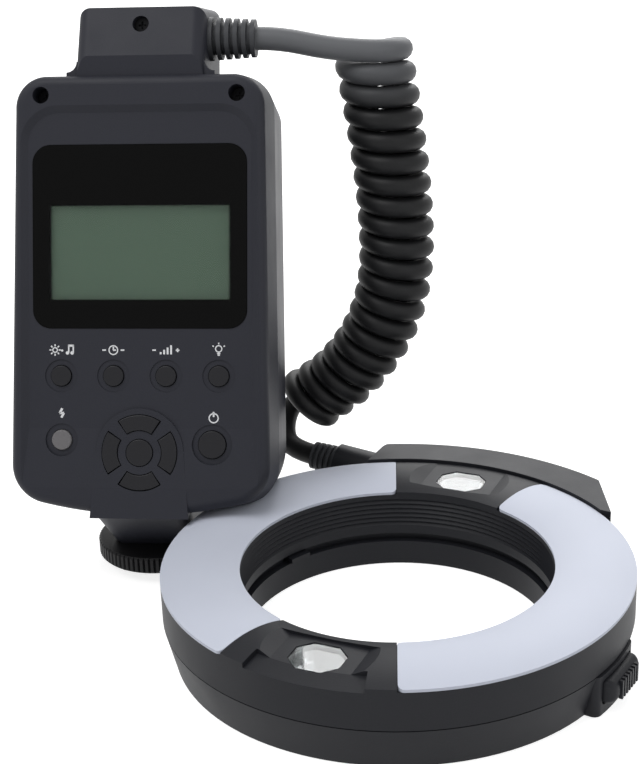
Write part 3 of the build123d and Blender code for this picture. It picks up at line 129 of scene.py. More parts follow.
class FlashSizes(bpy.types.PropertyGroup):
    cord_width: bpy.props.FloatProperty(
        name="Cord width", description="Diameter of the coiled cord", default=0.0051, unit="LENGTH")
    lead_swell: bpy.props.FloatProperty(
        name="Lead swell", description="How much thicker the straight leads are than the coil", default=1.16)
    coil_radius: bpy.props.FloatProperty(
        name="Coil radius", description="Radius of the coil's centre line", default=0.0075, unit="LENGTH")
    coil_turns: bpy.props.FloatProperty(
        name="Coil turns", description="Number of turns in the coil", default=19.25)
    coil_sag: bpy.props.FloatProperty(
        name="Coil sag", description="Share by which the top turns stand further apart", default=0.14)
    coil_lean: bpy.props.FloatProperty(
        name="Coil lean", description="Share of the axis's slope that the turns take up", default=0.6)
    coil_lift: bpy.props.FloatProperty(
        name="Coil lift", description="Rise of the first turn onto the lead", default=0.0, unit="LENGTH")
    turn_points: bpy.props.IntProperty(
        name="Points per turn", description="Control points in each turn of the coil", default=16)
    mark_height: bpy.props.FloatProperty(
        name="Mark height", description="Height of the marks over the keys", default=0.0026,
        unit="LENGTH")


class FlashColours(bpy.types.PropertyGroup):
    case: bpy.props.FloatVectorProperty(
        name="Case", description="Moulded case", subtype="COLOR", size=3, default=(0.018, 0.019, 0.0265))
    ring: bpy.props.FloatVectorProperty(
        name="Ring", description="Ring head's shells", subtype="COLOR", size=3,
        default=(0.0095, 0.0102, 0.0135))
    cord: bpy.props.FloatVectorProperty(
        name="Cord", description="Cord's jacket", subtype="COLOR", size=3, default=(0.006, 0.0062, 0.0068))
    # Painted light: the paler colour stands for light from above on the straight lead and the coil's first
    # turns; the jacket is one material
    lit_lead: bpy.props.FloatVectorProperty(
        name="Lead", description="Paler straight lead at the controller", subtype="COLOR", size=3,
        default=(0.12, 0.124, 0.132))
    diffuser: bpy.props.FloatVectorProperty(
        name="Diffuser", description="Frosted diffusers", subtype="COLOR", size=3, default=(0.56, 0.59, 0.68))
    display: bpy.props.FloatVectorProperty(
        name="Display", description="Liquid crystal", subtype="COLOR", size=3, default=(0.086, 0.135, 0.094))
    marks: bpy.props.FloatVectorProperty(
        name="Marks", description="Printed marks", subtype="COLOR", size=3, default=(0.8, 0.81, 0.83))


def sizes():
    return bpy.context.scene.flash_sizes


def colours():
    return bpy.context.scene.flash_colours


# Shader groups

def open_group(name, inputs, outputs):
    """A node group with named sockets: (name, type, default) in and (name, type) out."""
    group = bpy.data.node_groups.get(name)
    if group:
        return group, None, None
    group = bpy.data.node_groups.new(name, "ShaderNodeTree")
    for label, kind, default in inputs:
        socket = group.interface.new_socket(label, in_out="INPUT", socket_type=kind)
        if default is not None:
            socket.default_value = default
    for label, kind in outputs:
        group.interface.new_socket(label, in_out="OUTPUT", socket_type=kind)
    return group, group.nodes.new("NodeGroupInput"), group.nodes.new("NodeGroupOutput")


def noise(tree, vector, scale, detail=2.0):
    node = tree.nodes.new("ShaderNodeTexNoise")
    node.inputs["Detail"].default_value = detail
    tree.links.new(vector, node.inputs["Vector"])
    if isinstance(scale, float):
        node.inputs["Scale"].default_value = scale
    else:
        tree.links.new(scale, node.inputs["Scale"])
    return node.outputs["Fac"]


def remap(tree, value, low, high):
    """Value from 0 to 1 onto low to high, each a number or a socket."""
    node = tree.nodes.new("ShaderNodeMapRange")
    tree.links.new(value, node.inputs["Value"])
    for socket, end in (("To Min", low), ("To Max", high)):
        if isinstance(end, float):
            node.inputs[socket].default_value = end
        else:
            tree.links.new(end, node.inputs[socket])
    return node.outputs["Result"]


def moulded_grain():
    """Spark-eroded moulding grain: a fine pebble height, and a patchy roughness and tone."""
    group, start, end = open_group(
        "Moulded Grain",
        [("Vector", "NodeSocketVector", None), ("Scale", "NodeSocketFloat", 3200.0),
         ("Rough Low", "NodeSocketFloat", 0.45), ("Rough High", "NodeSocketFloat", 0.6),
         ("Colour", "NodeSocketColor", (0.04, 0.04, 0.045, 1)), ("Dust", "NodeSocketFloat", 0.05)],
        [("Height", "NodeSocketFloat"), ("Roughness", "NodeSocketFloat"), ("Colour", "NodeSocketColor")])
    if start is None:
        return group
    fine = noise(group, start.outputs["Vector"], start.outputs["Scale"], 3.0)
    broad = noise(group, start.outputs["Vector"], 90.0, 4.0)
    group.links.new(fine, end.inputs["Height"])
    rough = remap(group, broad, start.outputs["Rough Low"], start.outputs["Rough High"])
    group.links.new(rough, end.inputs["Roughness"])
    bright = group.nodes.new("ShaderNodeMix")
    bright.data_type = "RGBA"
    bright.blend_type = "MIX"
    bright.inputs["B"].default_value = (0.3, 0.3, 0.31, 1)
    specks = group.nodes.new("ShaderNodeMath")
    specks.operation = "MULTIPLY"
    group.links.new(remap(group, fine, 0.0, 1.0), specks.inputs[0])
    group.links.new(start.outputs["Dust"], specks.inputs[1])
    group.links.new(specks.outputs["Value"], bright.inputs["Factor"])
    group.links.new(start.outputs["Colour"], bright.inputs["A"])
    group.links.new(bright.outputs["Result"], end.inputs["Colour"])
    return group


def brushed_lines():
    """Fine drawn lines on metal: height and roughness."""
    group, start, end = open_group(
        "Drawn Lines",
        [("Vector", "NodeSocketVector", None), ("Rough Low", "NodeSocketFloat", 0.2),
         ("Rough High", "NodeSocketFloat", 0.4)],
        [("Height", "NodeSocketFloat"), ("Roughness", "NodeSocketFloat")])
    if start is None:
        return group
    stretch = group.nodes.new("ShaderNodeMapping")
    stretch.inputs["Scale"].default_value = (1, 1, 0.05)
    group.links.new(start.outputs["Vector"], stretch.inputs["Vector"])
    lines = noise(group, stretch.outputs["Vector"], 5000.0, 2.0)
    group.links.new(lines, end.inputs["Height"])
    group.links.new(remap(group, lines, start.outputs["Rough Low"], start.outputs["Rough High"]),
                    end.inputs["Roughness"])
    return group


# Materials

def new_material(name):
    """A material with its Principled shader and Object coordinates."""
    material = bpy.data.materials.new(name)
    material.use_nodes = True
    tree = material.node_tree
    shader = tree.nodes["Principled BSDF"]
    return material, tree, shader, tree.nodes.new("ShaderNodeTexCoord").outputs["Object"]


def bump(tree, shader, height, distance, strength=1.0):
    node = tree.nodes.new("ShaderNodeBump")
    node.inputs["Distance"].default_value = distance
    node.inputs["Strength"].default_value = strength
    tree.links.new(height, node.inputs["Height"])
    tree.links.new(node.outputs["Normal"], shader.inputs["Normal"])


def moulded(name, colour, scale=3200.0, depth=0.00002, rough=(0.45, 0.6), dust=0.02, shine=0.2):
    """Moulded plastic or rubber with its own grain."""
    material, tree, shader, vector = new_material(name)
    shader.inputs["Specular IOR Level"].default_value = shine
    grain = tree.nodes.new("ShaderNodeGroup")
    grain.node_tree = moulded_grain()
    grain.inputs["Scale"].default_value = scale
    grain.inputs["Rough Low"].default_value, grain.inputs["Rough High"].default_value = rough
    grain.inputs["Colour"].default_value = (*colour, 1)
    grain.inputs["Dust"].default_value = dust
    tree.links.new(vector, grain.inputs["Vector"])
    tree.links.new(grain.outputs["Colour"], shader.inputs["Base Color"])
    tree.links.new(grain.outputs["Roughness"], shader.inputs["Roughness"])
    bump(tree, shader, grain.outputs["Height"], depth)
    return material


def metal(name, colour, rough=(0.2, 0.4)):
    """Drawn or plated metal."""
    material, tree, shader, vector = new_material(name)
    lines = tree.nodes.new("ShaderNodeGroup")
    lines.node_tree = brushed_lines()
    lines.inputs["Rough Low"].default_value, lines.inputs["Rough High"].default_value = rough
    tree.links.new(vector, lines.inputs["Vector"])
    tree.links.new(lines.outputs["Roughness"], shader.inputs["Roughness"])
    bump(tree, shader, lines.outputs["Height"], 0.000004)
    shader.inputs["Base Color"].default_value = (*colour, 1)
    shader.inputs["Metallic"].default_value = 1.0
    return material


def clear(name, colour, rough=0.02):
    """Clear moulded plastic or glass, with faint flow lines."""
    material, tree, shader, vector = new_material(name)
    shader.inputs["Base Color"].default_value = (*colour, 1)
    shader.inputs["Transmission Weight"].default_value = 1.0
    shader.inputs["IOR"].default_value = 1.47
    flow = noise(tree, vector, 300.0, 1.0)
    tree.links.new(remap(tree, flow, rough, rough + 0.03), shader.inputs["Roughness"])
    return material


def axis_mask(tree, value, centre, reach, soft):
    """One inside centre plus or minus reach and nought outside, with soft ends."""
    away = tree.nodes.new("ShaderNodeMath")
    away.operation = "SUBTRACT"
    away.inputs[1].default_value = centre
    tree.links.new(value, away.inputs[0])
    size = tree.nodes.new("ShaderNodeMath")
    size.operation = "ABSOLUTE"
    tree.links.new(away.outputs["Value"], size.inputs[0])
    step = tree.nodes.new("ShaderNodeMapRange")
    step.interpolation_type = "SMOOTHSTEP"
    step.inputs["From Min"].default_value = reach + soft
    step.inputs["From Max"].default_value = reach - soft
    tree.links.new(size.outputs["Value"], step.inputs["Value"])
    return step.outputs["Result"]


def in_panel(tree, vector):
    """The panel's own X, Y and Z from Object coordinates."""
    back = PANEL.inverted()
    place = tree.nodes.new("ShaderNodeMapping")
    place.inputs["Location"].default_value = back.to_translation()
    place.inputs["Rotation"].default_value = back.to_euler()
    tree.links.new(vector, place.inputs["Vector"])
    split = tree.nodes.new("ShaderNodeSeparateXYZ")
    tree.links.new(place.outputs["Vector"], split.inputs["Vector"])
    return split.outputs


def masked_glass(name, colour):
    """Window glass printed black on its back, but for a clear opening over the display."""
    material, tree, shader, vector = new_material(name)
    shader.inputs["Transmission Weight"].default_value = 1.0
    shader.inputs["IOR"].default_value = 1.45
    shader.inputs["Specular Tint"].default_value = (0.2, 0.2, 0.2, 1)
    axes = in_panel(tree, vector)
    both = tree.nodes.new("ShaderNodeMath")
    both.operation = "MULTIPLY"
    tree.links.new(axis_mask(tree, axes["X"], 0.0, OPENING_HALF_W, 0.5 * MM), both.inputs[0])
    across = axis_mask(tree, axes["Z"], OPENING_Z, OPENING_HALF_H, 0.25 * MM)
    tree.links.new(across, both.inputs[1])
    tint = tree.nodes.new("ShaderNodeMix")
    tint.data_type = "RGBA"
    tint.inputs["A"].default_value = (0.0005, 0.0005, 0.0006, 1)
    tint.inputs["B"].default_value = (*colour, 1)
    tree.links.new(both.outputs["Value"], tint.inputs["Factor"])
    tree.links.new(tint.outputs["Result"], shader.inputs["Base Color"])
    tree.links.new(remap(tree, noise(tree, vector, 300.0, 1.0), 0.02, 0.05), shader.inputs["Roughness"])
    return material


def jacket(name, colour, lit_lead):
    """The cord's jacket, with painted light: paler along the straight lead at the controller and through the
    coil's top turns, where light from above falls.
    """
    material, tree, shader, vector = new_material(name)
    shader.inputs["Specular IOR Level"].default_value = 0.2
    split = tree.nodes.new("ShaderNodeSeparateXYZ")
    tree.links.new(vector, split.inputs["Vector"])
    # Painted light: the colour turns paler with height, from the coil's colour below PAINTED_LIGHT_FROM to
    # the lit lead colour above PAINTED_LIGHT_TO
    high = tree.nodes.new("ShaderNodeMapRange")
    high.inputs["From Min"].default_value = PAINTED_LIGHT_FROM
    high.inputs["From Max"].default_value = PAINTED_LIGHT_TO
    tree.links.new(split.outputs["Z"], high.inputs["Value"])
    tint = tree.nodes.new("ShaderNodeMix")
    tint.data_type = "RGBA"
    tint.inputs["A"].default_value = (*colour, 1)
    tint.inputs["B"].default_value = (*lit_lead, 1)
    tree.links.new(high.outputs["Result"], tint.inputs["Factor"])
    grain = tree.nodes.new("ShaderNodeGroup")
    grain.node_tree = moulded_grain()
    grain.inputs["Scale"].default_value = 2600.0
    grain.inputs["Rough Low"].default_value = 0.42
    grain.inputs["Rough High"].default_value = 0.55
    grain.inputs["Dust"].default_value = 0.02
    tree.links.new(vector, grain.inputs["Vector"])
    tree.links.new(tint.outputs["Result"], grain.inputs["Colour"])
    tree.links.new(grain.outputs["Colour"], shader.inputs["Base Color"])
    tree.links.new(grain.outputs["Roughness"], shader.inputs["Roughness"])
    bump(tree, shader, grain.outputs["Height"], 0.000012)
    return material


def frosted(name, colour):
    """A frosted diffuser: fine stipple, and a slightly deeper tone in its body."""
    material, tree, shader, vector = new_material(name)
    fine = noise(tree, vector, 2600.0, 2.0)
    broad = noise(tree, vector, 35.0, 2.0)
    tint = tree.nodes.new("ShaderNodeMix")
    tint.data_type = "RGBA"
    tint.inputs["A"].default_value = (*[c * 0.94 for c in colour], 1)
    tint.inputs["B"].default_value = (*[min(1, c * 1.05) for c in colour], 1)
    tree.links.new(broad, tint.inputs["Factor"])
    tree.links.new(tint.outputs["Result"], shader.inputs["Base Color"])
    tree.links.new(remap(tree, fine, 0.55, 0.7), shader.inputs["Roughness"])
    shader.inputs["Specular IOR Level"].default_value = 0.3
    shader.inputs["Subsurface Weight"].default_value = 0.25
    shader.inputs["Subsurface Radius"].default_value = (0.002, 0.002, 0.002)
    bump(tree, shader, fine, 0.00001)
    return material


def liquid_crystal(name, colour):
    """A blank reflective display: a faint cell grid."""
    material, tree, shader, vector = new_material(name)
    shader.inputs["Specular IOR Level"].default_value = 0.2
    place = tree.nodes.new("ShaderNodeMapping")
    place.inputs["Rotation"].default_value = (PANEL_LEAN, 0, 0)
    tree.links.new(vector, place.inputs["Vector"])
    grid = tree.nodes.new("ShaderNodeTexBrick")
    grid.offset = 0
    grid.inputs["Scale"].default_value = 1.0
    grid.inputs["Brick Width"].default_value = 0.00045
    grid.inputs["Row Height"].default_value = 0.00045
    grid.inputs["Mortar Size"].default_value = 0.00003
    grid.inputs["Color1"].default_value = (*colour, 1)
    grid.inputs["Color2"].default_value = (*[c * 1.02 for c in colour], 1)
    grid.inputs["Mortar"].default_value = (*[c * 1.08 for c in colour], 1)
    flat = tree.nodes.new("ShaderNodeSeparateXYZ")
    tree.links.new(place.outputs["Vector"], flat.inputs["Vector"])
    joined = tree.nodes.new("ShaderNodeCombineXYZ")
    tree.links.new(flat.outputs["X"], joined.inputs["X"])
    tree.links.new(flat.outputs["Z"], joined.inputs["Y"])
    tree.links.new(joined.outputs["Vector"], grid.inputs["Vector"])
    tree.links.new(grid.outputs["Color"], shader.inputs["Base Color"])
    tree.links.new(remap(tree, noise(tree, vector, 120.0), 0.3, 0.4), shader.inputs["Roughness"])
    return material


def printed(name, colour):
    """Pad-printed ink."""
    material, tree, shader, vector = new_material(name)
    worn = noise(tree, vector, 4000.0, 2.0)
    tint = tree.nodes.new("ShaderNodeMix")
    tint.data_type = "RGBA"
    tint.inputs["A"].default_value = (*[c * 0.8 for c in colour], 1)
    tint.inputs["B"].default_value = (*colour, 1)
    tree.links.new(worn, tint.inputs["Factor"])
    tree.links.new(tint.outputs["Result"], shader.inputs["Base Color"])
    tree.links.new(remap(tree, worn, 0.5, 0.7), shader.inputs["Roughness"])
    return material


def laminate(name):
    """A circuit board: solder mask over pale tracks."""
    material, tree, shader, vector = new_material(name)
    cells = tree.nodes.new("ShaderNodeTexVoronoi")
    cells.inputs["Scale"].default_value = 600.0
    cells.feature = "DISTANCE_TO_EDGE"
    tree.links.new(vector, cells.inputs["Vector"])
    ramp = tree.nodes.new("ShaderNodeValToRGB")
    ramp.color_ramp.elements[0].position = 0.04
    ramp.color_ramp.elements[0].color = (0.05, 0.22, 0.09, 1)
    ramp.color_ramp.elements[1].position = 0.07
    ramp.color_ramp.elements[1].color = (0.01, 0.1, 0.03, 1)
    tree.links.new(cells.outputs["Distance"], ramp.inputs["Fac"])
    tree.links.new(ramp.outputs["Color"], shader.inputs["Base Color"])
    tree.links.new(remap(tree, noise(tree, vector, 800.0), 0.25, 0.45), shader.inputs["Roughness"])
    return material


def seen_rays(tree, others, seen):
    """The level for rays that show the background (camera, glossy, transmission) and for all others."""
    ray = tree.nodes.new("ShaderNodeLightPath")
    shown = ray.outputs["Is Camera Ray"]
    for kind in ("Is Glossy Ray", "Is Transmission Ray"):
        most = tree.nodes.new("ShaderNodeMath")
        most.operation = "MAXIMUM"
        tree.links.new(shown, most.inputs[0])
        tree.links.new(ray.outputs[kind], most.inputs[1])
        shown = most.outputs["Value"]
    return remap(tree, shown, others, seen)


# Shapes

def add_piece(name, mesh, body=BODY):
    """Links a mesh as a piece that rides on a body."""
    piece = bpy.data.objects.new(name, mesh)
    bpy.context.scene.collection.objects.link(piece)
    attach(piece, body)
    return piece


def mesh_from(bm, name):
    bmesh.ops.recalc_face_normals(bm, faces=bm.faces)
    mesh = bpy.data.meshes.new(name)
    bm.to_mesh(mesh)
    bm.free()
    return mesh


def disc_mark(bm, x, z, radius, hole=0.0, segments=32):
    """A printed dot or ring on the panel."""
    made = bmesh.ops.create_circle(bm, cap_ends=not hole, segments=segments, radius=radius)
    ring = made["verts"]
    if hole:
        edges = [e for e in bm.edges if e.verts[0] in ring and e.verts[1] in ring]
        out = bmesh.ops.extrude_edge_only(bm, edges=edges)["geom"]
        inner = [v for v in out if isinstance(v, bmesh.types.BMVert)]
        bmesh.ops.scale(bm, vec=(hole / radius, hole / radius, 1), verts=inner)
        ring = ring + inner
    bmesh.ops.rotate(bm, matrix=Matrix.Rotation(math.pi / 2, 3, "X"), verts=ring)
    bmesh.ops.translate(bm, vec=(x, 0, z), verts=ring)


def bar_mark(bm, x, z, width, height, turn=0.0):
    """A printed bar on the panel, turned about its centre."""
    made = bmesh.ops.create_grid(bm, x_segments=1, y_segments=1, size=0.5)["verts"]
    bmesh.ops.scale(bm, vec=(width, height, 1), verts=made)
    bmesh.ops.rotate(bm, matrix=Matrix.Rotation(turn, 3, "Z"), verts=made)
    bmesh.ops.rotate(bm, matrix=Matrix.Rotation(math.pi / 2, 3, "X"), verts=made)
    bmesh.ops.translate(bm, vec=(x, 0, z), verts=made)


# Operators

class FLASH_OT_camera(bpy.types.Operator):
    """Place the camera where the photograph was taken from"""
    bl_idname = "flash.camera"
    bl_label = "Camera"

    def execute(self, context):
        data = bpy.data.cameras.new("Camera")
        camera = bpy.data.objects.new("Camera", data)
        context.scene.collection.objects.link(camera)
        data.sensor_width = SENSOR_MM
        data.lens = SENSOR_MM * FOCAL_PX / FRAME_PX
        data.clip_start, data.clip_end = 0.01, 20
        heading = Matrix.Rotation(HEADING, 3, "Z")
        forward = heading @ Vector((0, math.cos(PITCH), -math.sin(PITCH)))
        up = heading @ Vector((0, math.sin(PITCH), math.cos(PITCH)))
        right = heading @ Vector((1, 0, 0))
        across = right * math.cos(ROLL) + up * math.sin(ROLL)
        rise = up * math.cos(ROLL) - right * math.sin(ROLL)
        turn = Matrix((across, rise, -forward)).transposed().to_4x4()
        camera.matrix_world = Matrix.Translation(CAMERA_PLACE) @ turn
        context.scene.camera = camera
        return {"FINISHED"}


class FLASH_OT_stage(bpy.types.Operator):
    """Lay a pale floor and hang soft lamps"""
    bl_idname = "flash.stage"
    bl_label = "Stage"

    def execute(self, context):
        scene = context.scene
        scene.view_settings.view_transform = "Standard"
        bm = bmesh.new()
        bmesh.ops.create_grid(bm, x_segments=1, y_segments=1, size=FLOOR_REACH)
        floor = bpy.data.objects.new("Floor", mesh_from(bm, "Floor"))
        scene.collection.objects.link(floor)
        floor.location.z = -FLOOR_DROP
        material, tree, shader, vector = new_material("Floor Paper")
        shader.inputs["Base Color"].default_value = (0.6, 0.6, 0.6, 1)
        shader.inputs["Roughness"].default_value = 0.9
        shader.inputs["Emission Color"].default_value = (1, 1, 1, 1)
        tree.links.new(seen_rays(tree, 0.0, FLOOR_SEEN), shader.inputs["Emission Strength"])
        floor.data.materials.append(material)
        world = bpy.data.worlds.new("Studio")
        scene.world = world
        world.use_nodes = True
        background = world.node_tree.nodes["Background"]
        background.inputs["Color"].default_value = (1, 1, 1, 1)
        level = seen_rays(world.node_tree, WORLD_LIGHT, WORLD_SEEN)
        world.node_tree.links.new(level, background.inputs["Strength"])
        for name, place, size, power in STUDIO_LAMPS:
            light = bpy.data.lights.new(name, "AREA")
            light.size = size
            light.energy = power
            lamp = bpy.data.objects.new(name, light)
            scene.collection.objects.link(lamp)
            lamp.location = place
            lamp.rotation_euler = (Vector(place) - LAMP_AIM).to_track_quat("Z", "Y").to_euler()
        return {"FINISHED"}


def smooth_line(points):
    """The points that a NURBS curve through these control points follows."""
    data = bpy.data.curves.new("Route", "CURVE")
    data.dimensions = "3D"
    data.resolution_u = 24
    spline = data.splines.new("NURBS")
    spline.points.add(len(points) - 1)
    for point, place in zip(spline.points, points):
        point.co = (*place, 1)
    spline.order_u = 3
    spline.use_endpoint_u = True
    route = bpy.data.objects.new("Route", data)
    bpy.context.scene.collection.objects.link(route)
    mesh = bpy.data.meshes.new_from_object(route)
    line = [v.co.copy() for v in mesh.vertices]
    bpy.data.objects.remove(route)
    bpy.data.meshes.remove(mesh)
    return line


def coil_points():
    """Control points of the cord's turns: further apart at the top, and leaning less than the axis."""
    line = smooth_line(COIL_AXIS)
    ways = [(b - a).normalized() for a, b in zip(line, line[1:])]
    ways.append(ways[-1])
    made = [0.0]
    for i in range(len(line) - 1):
        spread = 1 + sizes().coil_sag * (0.5 - i / (len(line) - 1))
        made.append(made[-1] + (line[i + 1] - line[i]).length / spread)
    count = round(sizes().coil_turns * sizes().turn_points)
    # The curve runs inside its control points, so they stand a little further out
    stand = sizes().coil_radius / math.cos(math.pi / sizes().turn_points)
    found, i = [], 0
    for step in range(count + 1):
        wanted = made[-1] * step / count
        while i < len(made) - 2 and made[i + 1] < wanted:
            i += 1
        share = (wanted - made[i]) / (made[i + 1] - made[i])
        centre = line[i].lerp(line[i + 1], share)
        way = ways[i].lerp(ways[i + 1], share).normalized()
        face = Vector((0, 0, -1)).lerp(way, sizes().coil_lean).normalized()
        across = Vector((-face.z, 0, face.x))
        turn = step / sizes().turn_points
        angle = 2 * math.pi * turn - math.pi / 2
        lift = sizes().coil_lift * min(1, max(0, 1.5 - 2 * turn))
        found.append(centre + across * (stand * math.cos(angle)) + Vector((0, stand * math.sin(angle), lift)))
    return found


class FLASH_OT_cord(bpy.types.Operator):
    """Run the cord from the controller through its coil to the ring head"""
    bl_idname = "flash.cord"
    bl_label = "Cord"

    def execute(self, context):
        turns = coil_points()
        points = [Vector(p) for p in UPPER_LEAD] + turns + [Vector(p) for p in LOWER_LEAD]
        data = bpy.data.curves.new("Cord", "CURVE")
        data.dimensions = "3D"
        data.resolution_u = 4
        data.bevel_depth = sizes().cord_width / 2
        data.bevel_resolution = 5
        data.use_fill_caps = True
        spline = data.splines.new("NURBS")
        spline.points.add(len(points) - 1)
        for i, (point, place) in enumerate(zip(spline.points, points)):
            point.co = (*place, 1)
            in_lead = min(max(1 - i / START_BLEND, (i - len(points) + END_BLEND) / END_REACH, 0), 1)
            coil = COIL_SWELL - COIL_TAPER * i / len(points)
            point.radius = coil + (sizes().lead_swell - coil) * in_lead
        spline.order_u = 3
        spline.use_endpoint_u = True
        cord = bpy.data.objects.new("Cord", data)
        context.scene.collection.objects.link(cord)
        data.materials.append(jacket("Cord Jacket", colours().cord, colours().lit_lead))
        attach(cord, BODY)
        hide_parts("cord_upper_lead", "cord_coil", "cord_lower_lead")
        return {"FINISHED"}


class FLASH_OT_marks(bpy.types.Operator):
    """Print the marks over the keys"""
    bl_idname = "flash.marks"
    bl_label = "Panel Marks"

    def execute(self, context):
        bm = bmesh.new()
        tall = sizes().mark_height
        line = tall * 0.14
        row = KEY_ROW
        x = KEY_COLUMNS[0]
        disc_mark(bm, x - tall * 0.6, row, tall * 0.28, tall * 0.17)
        for i in range(8):
            turn = i * math.pi / 4
            bar_mark(bm, x - tall * 0.6 + math.sin(turn) * tall * 0.46, row + math.cos(turn) * tall * 0.46,
                     line * 0.9, tall * 0.2, -turn)
        disc_mark(bm, x + tall * 0.1, row - tall * 0.05, line * 0.8)
        bar_mark(bm, x + tall * 0.75, row + tall * 0.1, line, tall * 0.75)
        bar_mark(bm, x + tall * 1.2, row + tall * 0.1, line, tall * 0.75)
        bar_mark(bm, x + tall * 0.97, row + tall * 0.42, tall * 0.55, line * 1.5)
        disc_mark(bm, x + tall * 0.62, row - tall * 0.28, line * 1.2)
        disc_mark(bm, x + tall * 1.08, row - tall * 0.28, line * 1.2)
        x = KEY_COLUMNS[1]
        disc_mark(bm, x, row, tall * 0.48, tall * 0.37)
        bar_mark(bm, x, row + tall * 0.16, line, tall * 0.34)
        bar_mark(bm, x + tall * 0.12, row, tall * 0.28, line)
        for i in (-1, 1):
            bar_mark(bm, x + i * tall * 0.9, row, tall * 0.36, line)
        x = KEY_COLUMNS[2]
        for i in range(4):
            bar_mark(bm, x + (i - 1.5) * tall * 0.34, row - tall * 0.4 + tall * 0.11 * (i + 1), line * 1.3,
                     tall * 0.22 * (i + 1))
        bar_mark(bm, x - tall * 1.15, row, tall * 0.36, line)
        bar_mark(bm, x + tall * 1.15, row, tall * 0.36, line)
        bar_mark(bm, x + tall * 1.15, row, line, tall * 0.36)
        x = KEY_COLUMNS[3]
        disc_mark(bm, x, row + tall * 0.14, tall * 0.36, tall * 0.25)
        bar_mark(bm, x, row - tall * 0.3, tall * 0.3, line)
        bar_mark(bm, x, row - tall * 0.46, tall * 0.22, line)
        for i in (-1, 0, 1):
            turn = i * math.pi / 3
            bar_mark(bm, x + math.sin(turn) * tall * 0.62, row + tall * 0.14 + math.cos(turn) * tall * 0.52,
                     line * 0.9, tall * 0.16, -turn)
        x, low = PILOT_MARK
        bar_mark(bm, x - tall * 0.08, low + tall * 0.22, line * 1.6, tall * 0.52, -0.5)
        bar_mark(bm, x, low, tall * 0.44, line * 1.4, 0.1)
        bar_mark(bm, x + tall * 0.08, low - tall * 0.22, line * 1.6, tall * 0.52, -0.5)
        bmesh.ops.remove_doubles(bm, verts=bm.verts, dist=1e-7)
        self.print_plate(bm, "Key_Marks")
        bm = bmesh.new()
        x, row = POWER_MARK
        disc_mark(bm, x, row, tall * 0.5, tall * 0.38)
        bar_mark(bm, x, row + tall * 0.36, line * 1.3, tall * 0.5)
        self.print_plate(bm, "Switch_Mark")
        return {"FINISHED"}

    def print_plate(self, bm, name):
        """Turns flat shapes in the panel's frame into ink a hair thick on the panel."""
        for face in bm.faces:
            if face.normal.y > 0:
                face.normal_flip()
        bm.normal_update()
        made = bmesh.ops.extrude_face_region(bm, geom=bm.faces[:])["geom"]
        moved = [v for v in made if isinstance(v, bmesh.types.BMVert)]
        bmesh.ops.translate(bm, vec=(0, -INK_THICK, 0), verts=moved)
        bmesh.ops.translate(bm, vec=(0, INK_DEPTH, 0), verts=bm.verts)
        bmesh.ops.transform(bm, matrix=PANEL, verts=bm.verts)
        piece = add_piece(name, mesh_from(bm, name))
        ink = bpy.data.materials.get("Printed Ink") or printed("Printed Ink", colours().marks)
        piece.data.materials.append(ink)


class FLASH_OT_lamps(bpy.types.Operator):
    """Press the lamps' faceted reflectors"""
    bl_idname = "flash.lamps"
    bl_label = "Lamp Reflectors"

    def execute(self, context):
        bright = metal("Lamp Chrome", (0.9, 0.91, 0.91), (0.06, 0.14))
        # A darker, rougher copy of the chrome, used for painted reflection and shade on some facets
        shaded_satin = metal("Lamp Shaded Satin", (0.22, 0.245, 0.24), (0.18, 0.3))
        for name, turn in (("upper", 0), ("lower", math.pi)):
            bm = bmesh.new()
            rim = bmesh.ops.create_circle(bm, cap_ends=False, segments=REFLECTOR_SIDES, radius=1.0)["verts"]
            bmesh.ops.rotate(bm, matrix=Matrix.Rotation(math.pi / REFLECTOR_SIDES, 3, "Z"), verts=rim)
            bmesh.ops.scale(bm, vec=(*REFLECTOR_HALF, 1), verts=rim)
            for side in (-1, 1):
                half = [v for v in rim if v.co.y * side > 0]
                bmesh.ops.translate(bm, vec=(0, side * REFLECTOR_SPREAD, 0), verts=half)
            edges = bm.edges[:]
            for share, depth in REFLECTOR_STAGES:
                made = bmesh.ops.extrude_edge_only(bm, edges=edges)["geom"]
                verts = [v for v in made if isinstance(v, bmesh.types.BMVert)]
                edges = [e for e in made if isinstance(e, bmesh.types.BMEdge)
                         and e.verts[0] in verts and e.verts[1] in verts]
                bmesh.ops.scale(bm, vec=(share, share, 1), verts=verts)
                bmesh.ops.translate(bm, vec=(0, 0, -depth), verts=verts)
            bmesh.ops.contextual_create(bm, geom=edges)
            # Painted reflection and shade: alternate facets, and the flat facets across the middle, take the
            # darker copy in place of the dark surroundings the chrome reflects
            for i, face in enumerate(bm.faces):
                face.material_index = 1 if abs(face.calc_center_median().y) < 1 * MM else i % 2
            bmesh.ops.translate(bm, vec=REFLECTOR_PLACE, verts=bm.verts)
            bmesh.ops.rotate(bm, matrix=Matrix.Rotation(TWELVE + turn, 3, "Z"), verts=bm.verts)
            bmesh.ops.solidify(bm, geom=bm.faces[:], thickness=REFLECTOR_WALL)
            piece = add_piece(f"Lamp_Facets_{name}", mesh_from(bm, f"Lamp Facets {name}"))
            piece.data.materials.append(bright)
            piece.data.materials.append(shaded_satin)
            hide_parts(f"lamp_reflector_{name}")
        return {"FINISHED"}


